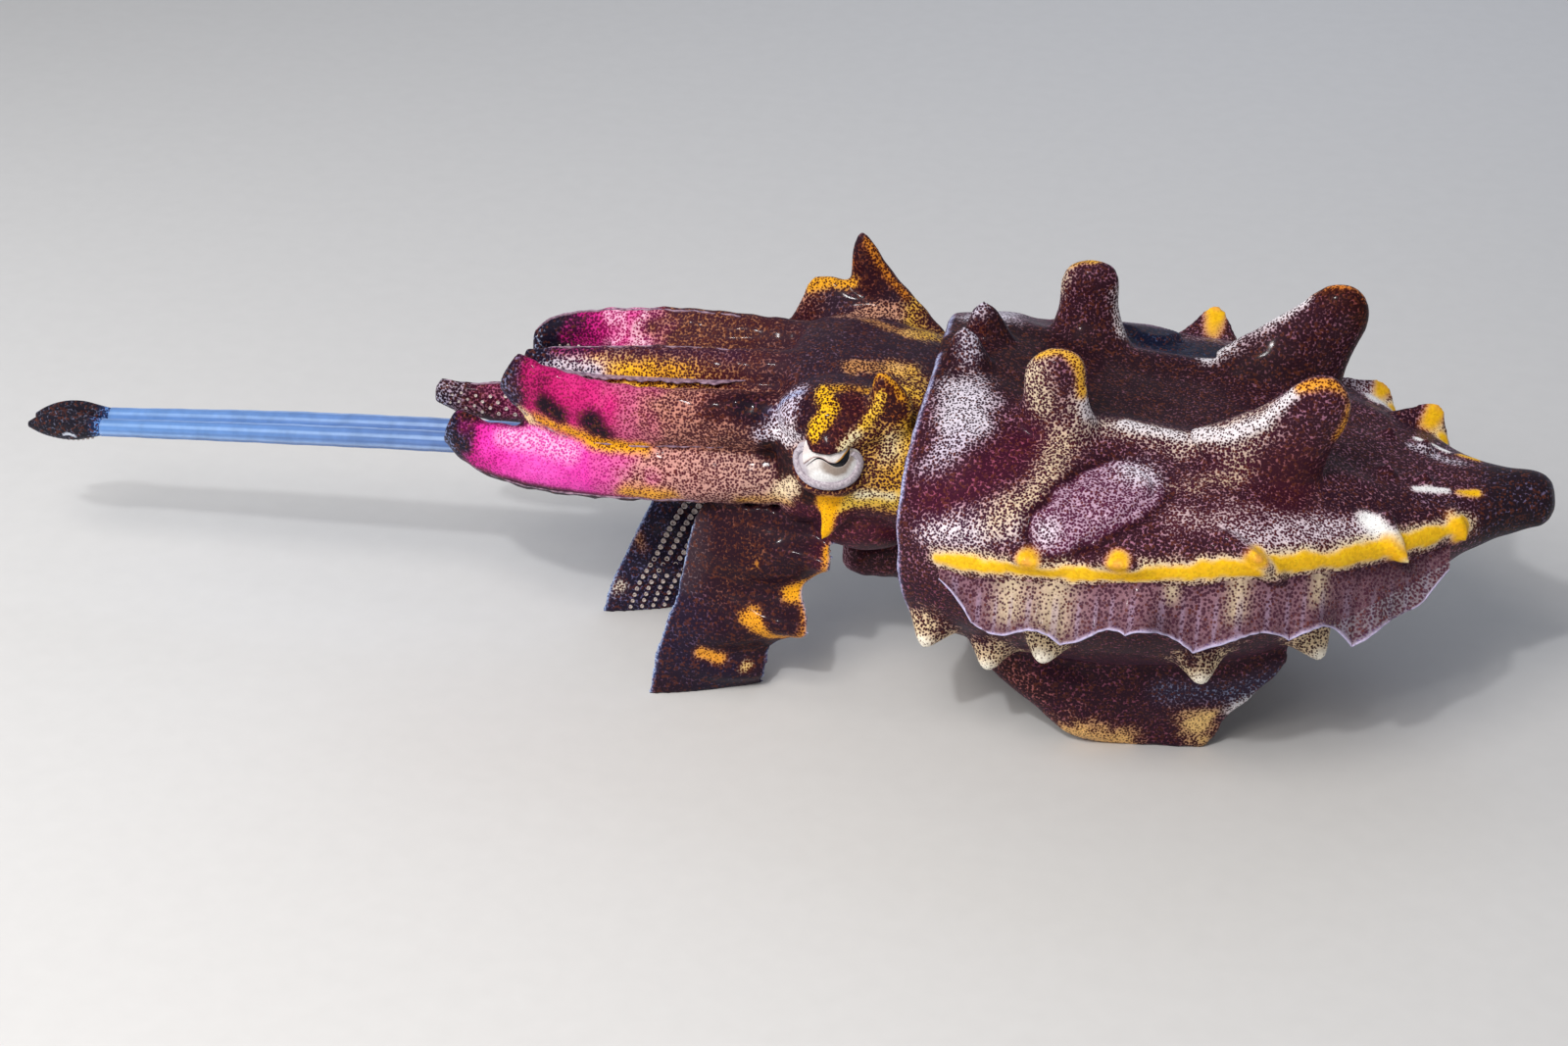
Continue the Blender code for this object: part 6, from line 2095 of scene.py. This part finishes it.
@dataclass(frozen=True)
class Studio:
    """The plain pale floor, the soft lights and the camera."""

    azimuth: float = 11.0
    elevation: float = 30.0
    distance: float = 311.1
    lens: float = 70.0
    target: tuple = (2.8, 0.0, 13.2)
    floor_half: float = 3000.0
    lamp_target: tuple = (0.0, 0.0, 20.0)
    largest_glint: float = 50.0
    fill: float = 0.29
    lights: tuple = (
        ("key", (-60, -190, 260), 170, 0.66, "#fff7ee"), ("back", (70, 240, 230), 200, 0.2, "#dfe9ff"),
        ("front", (-260, -60, 120), 180, 0.32, "#ffffff"), ("spark", (-40, -240, 300), 16, 0.34, "#ffffff"),
    )

    def build(self) -> None:
        """Builds the stage."""
        self.lay_floor()
        for name, place, size, power, colour in self.lights:
            self.hang_light(name, place, size, power, colour)
        self.fill_with_soft_light()
        self.set_camera()

    def lay_floor(self) -> None:
        """Lays a large pale floor at z = 0."""
        bm = bmesh.new()
        bmesh.ops.create_grid(bm, x_segments=1, y_segments=1, size=self.floor_half * MM)
        floor = new_object("floor", bm)
        material, tree, shader = new_material("matt pale paper")
        tone = fit(tree, noise(tree, 400.0, 3.0), (0.0, 1.0), (0.63, 0.67))
        feed(tree, shader, {"Base Color": tone, "Roughness": 0.85})
        floor.data.materials.append(material)

    def hang_light(self, name: str, place: tuple, size: float, power: float, colour: str) -> None:
        """Hangs one square soft light that faces the animal."""
        lamp = bpy.data.lights.new(name, "AREA")
        lamp.size = size * MM
        lamp.energy = power
        lamp.color = tuple(linear(colour))
        obj = bpy.data.objects.new(name, lamp)
        obj.location = Vector(place) * MM
        aim = Vector(self.lamp_target) * MM - obj.location
        obj.rotation_euler = aim.to_track_quat("-Z", "Y").to_euler()
        obj.visible_glossy = size < self.largest_glint
        bpy.context.scene.collection.objects.link(obj)

    def fill_with_soft_light(self) -> None:
        """Fills the room with a soft, even light."""
        world = bpy.data.worlds.new("studio")
        world.use_nodes = True
        background = world.node_tree.nodes["Background"]
        background.inputs["Color"].default_value = rgba("#f3f6fb")
        background.inputs["Strength"].default_value = self.fill
        bpy.context.scene.world = world

    def set_camera(self) -> None:
        """Sets the camera on the left side, a little behind square and well above."""
        turn, rise = math.radians(self.azimuth), math.radians(self.elevation)
        away = Vector((math.sin(turn) * math.cos(rise), -math.cos(turn) * math.cos(rise), math.sin(rise)))
        lens = bpy.data.cameras.new("camera")
        lens.lens = self.lens
        lens.sensor_width = 36.0
        lens.clip_start = 0.005
        camera = bpy.data.objects.new("camera", lens)
        camera.location = (Vector(self.target) + away * self.distance) * MM
        camera.rotation_euler = (-away).to_track_quat("-Z", "Y").to_euler()
        bpy.context.scene.collection.objects.link(camera)
        bpy.context.scene.camera = camera
        bpy.context.scene.view_settings.view_transform = "Standard"


def main() -> None:
    """Dresses the model piece by piece."""
    logging.basicConfig(level=logging.INFO, format="%(message)s")
    mantle, head = Mantle(), Head()
    mantle.build(DottedSkin("mantle skin").build())
    head.build(DottedSkin("head skin").build())
    pearl = PearlFlesh().build()
    pupil = PlainTissue("dark pupil", "#15141f", "#060509", 0.3, 0.08, sheen=0.0).build()
    clear = PlainTissue("clear eye ring", "#d9d0d8", "#a79aa6", 0.25, 0.15, 0.82, 0.5).build()
    membrane = DottedSkin("fin membrane", 0.3, 0.4, 0.3, 0.02, 0.25).build()
    frill = PlainTissue("frilled arm edge", "#b494a8", "#6e5064", 0.5, 0.4, 0.85, 0.3).build()
    cups = PlainTissue("suckers", "#e9ded6", "#b8a29c", 0.2, 0.3, 1.0, 0.3).build()
    muscle = PlainTissue("tentacle muscle", "#ffffff", "#ffffff", 1.5, 0.22, 0.9, 0.3, tinted=True).build()
    club = DottedSkin("club skin").build()
    Funnel().build(DottedSkin("funnel skin").build())
    build_frills(frill)
    for side in Side:
        Eye(head, side).build(pearl, pupil, clear)
        Fin(mantle, side).build(membrane)
        tentacle = Tentacle(side)
        tentacle.build_stalk(muscle)
        tentacle.build_club(club)
        build_suckers(f"club_{side.label}_suckers", tentacle.sucker_places(), cups)
    for arm in ARMS:
        build_suckers(f"{arm.name}_suckers", arm.sucker_places(4, 22), cups)
    for leg in LEGS:
        build_suckers(f"{leg.name}_suckers", leg.sucker_places(30), cups)
    Studio().build()


if __name__ == "__main__":
    main()
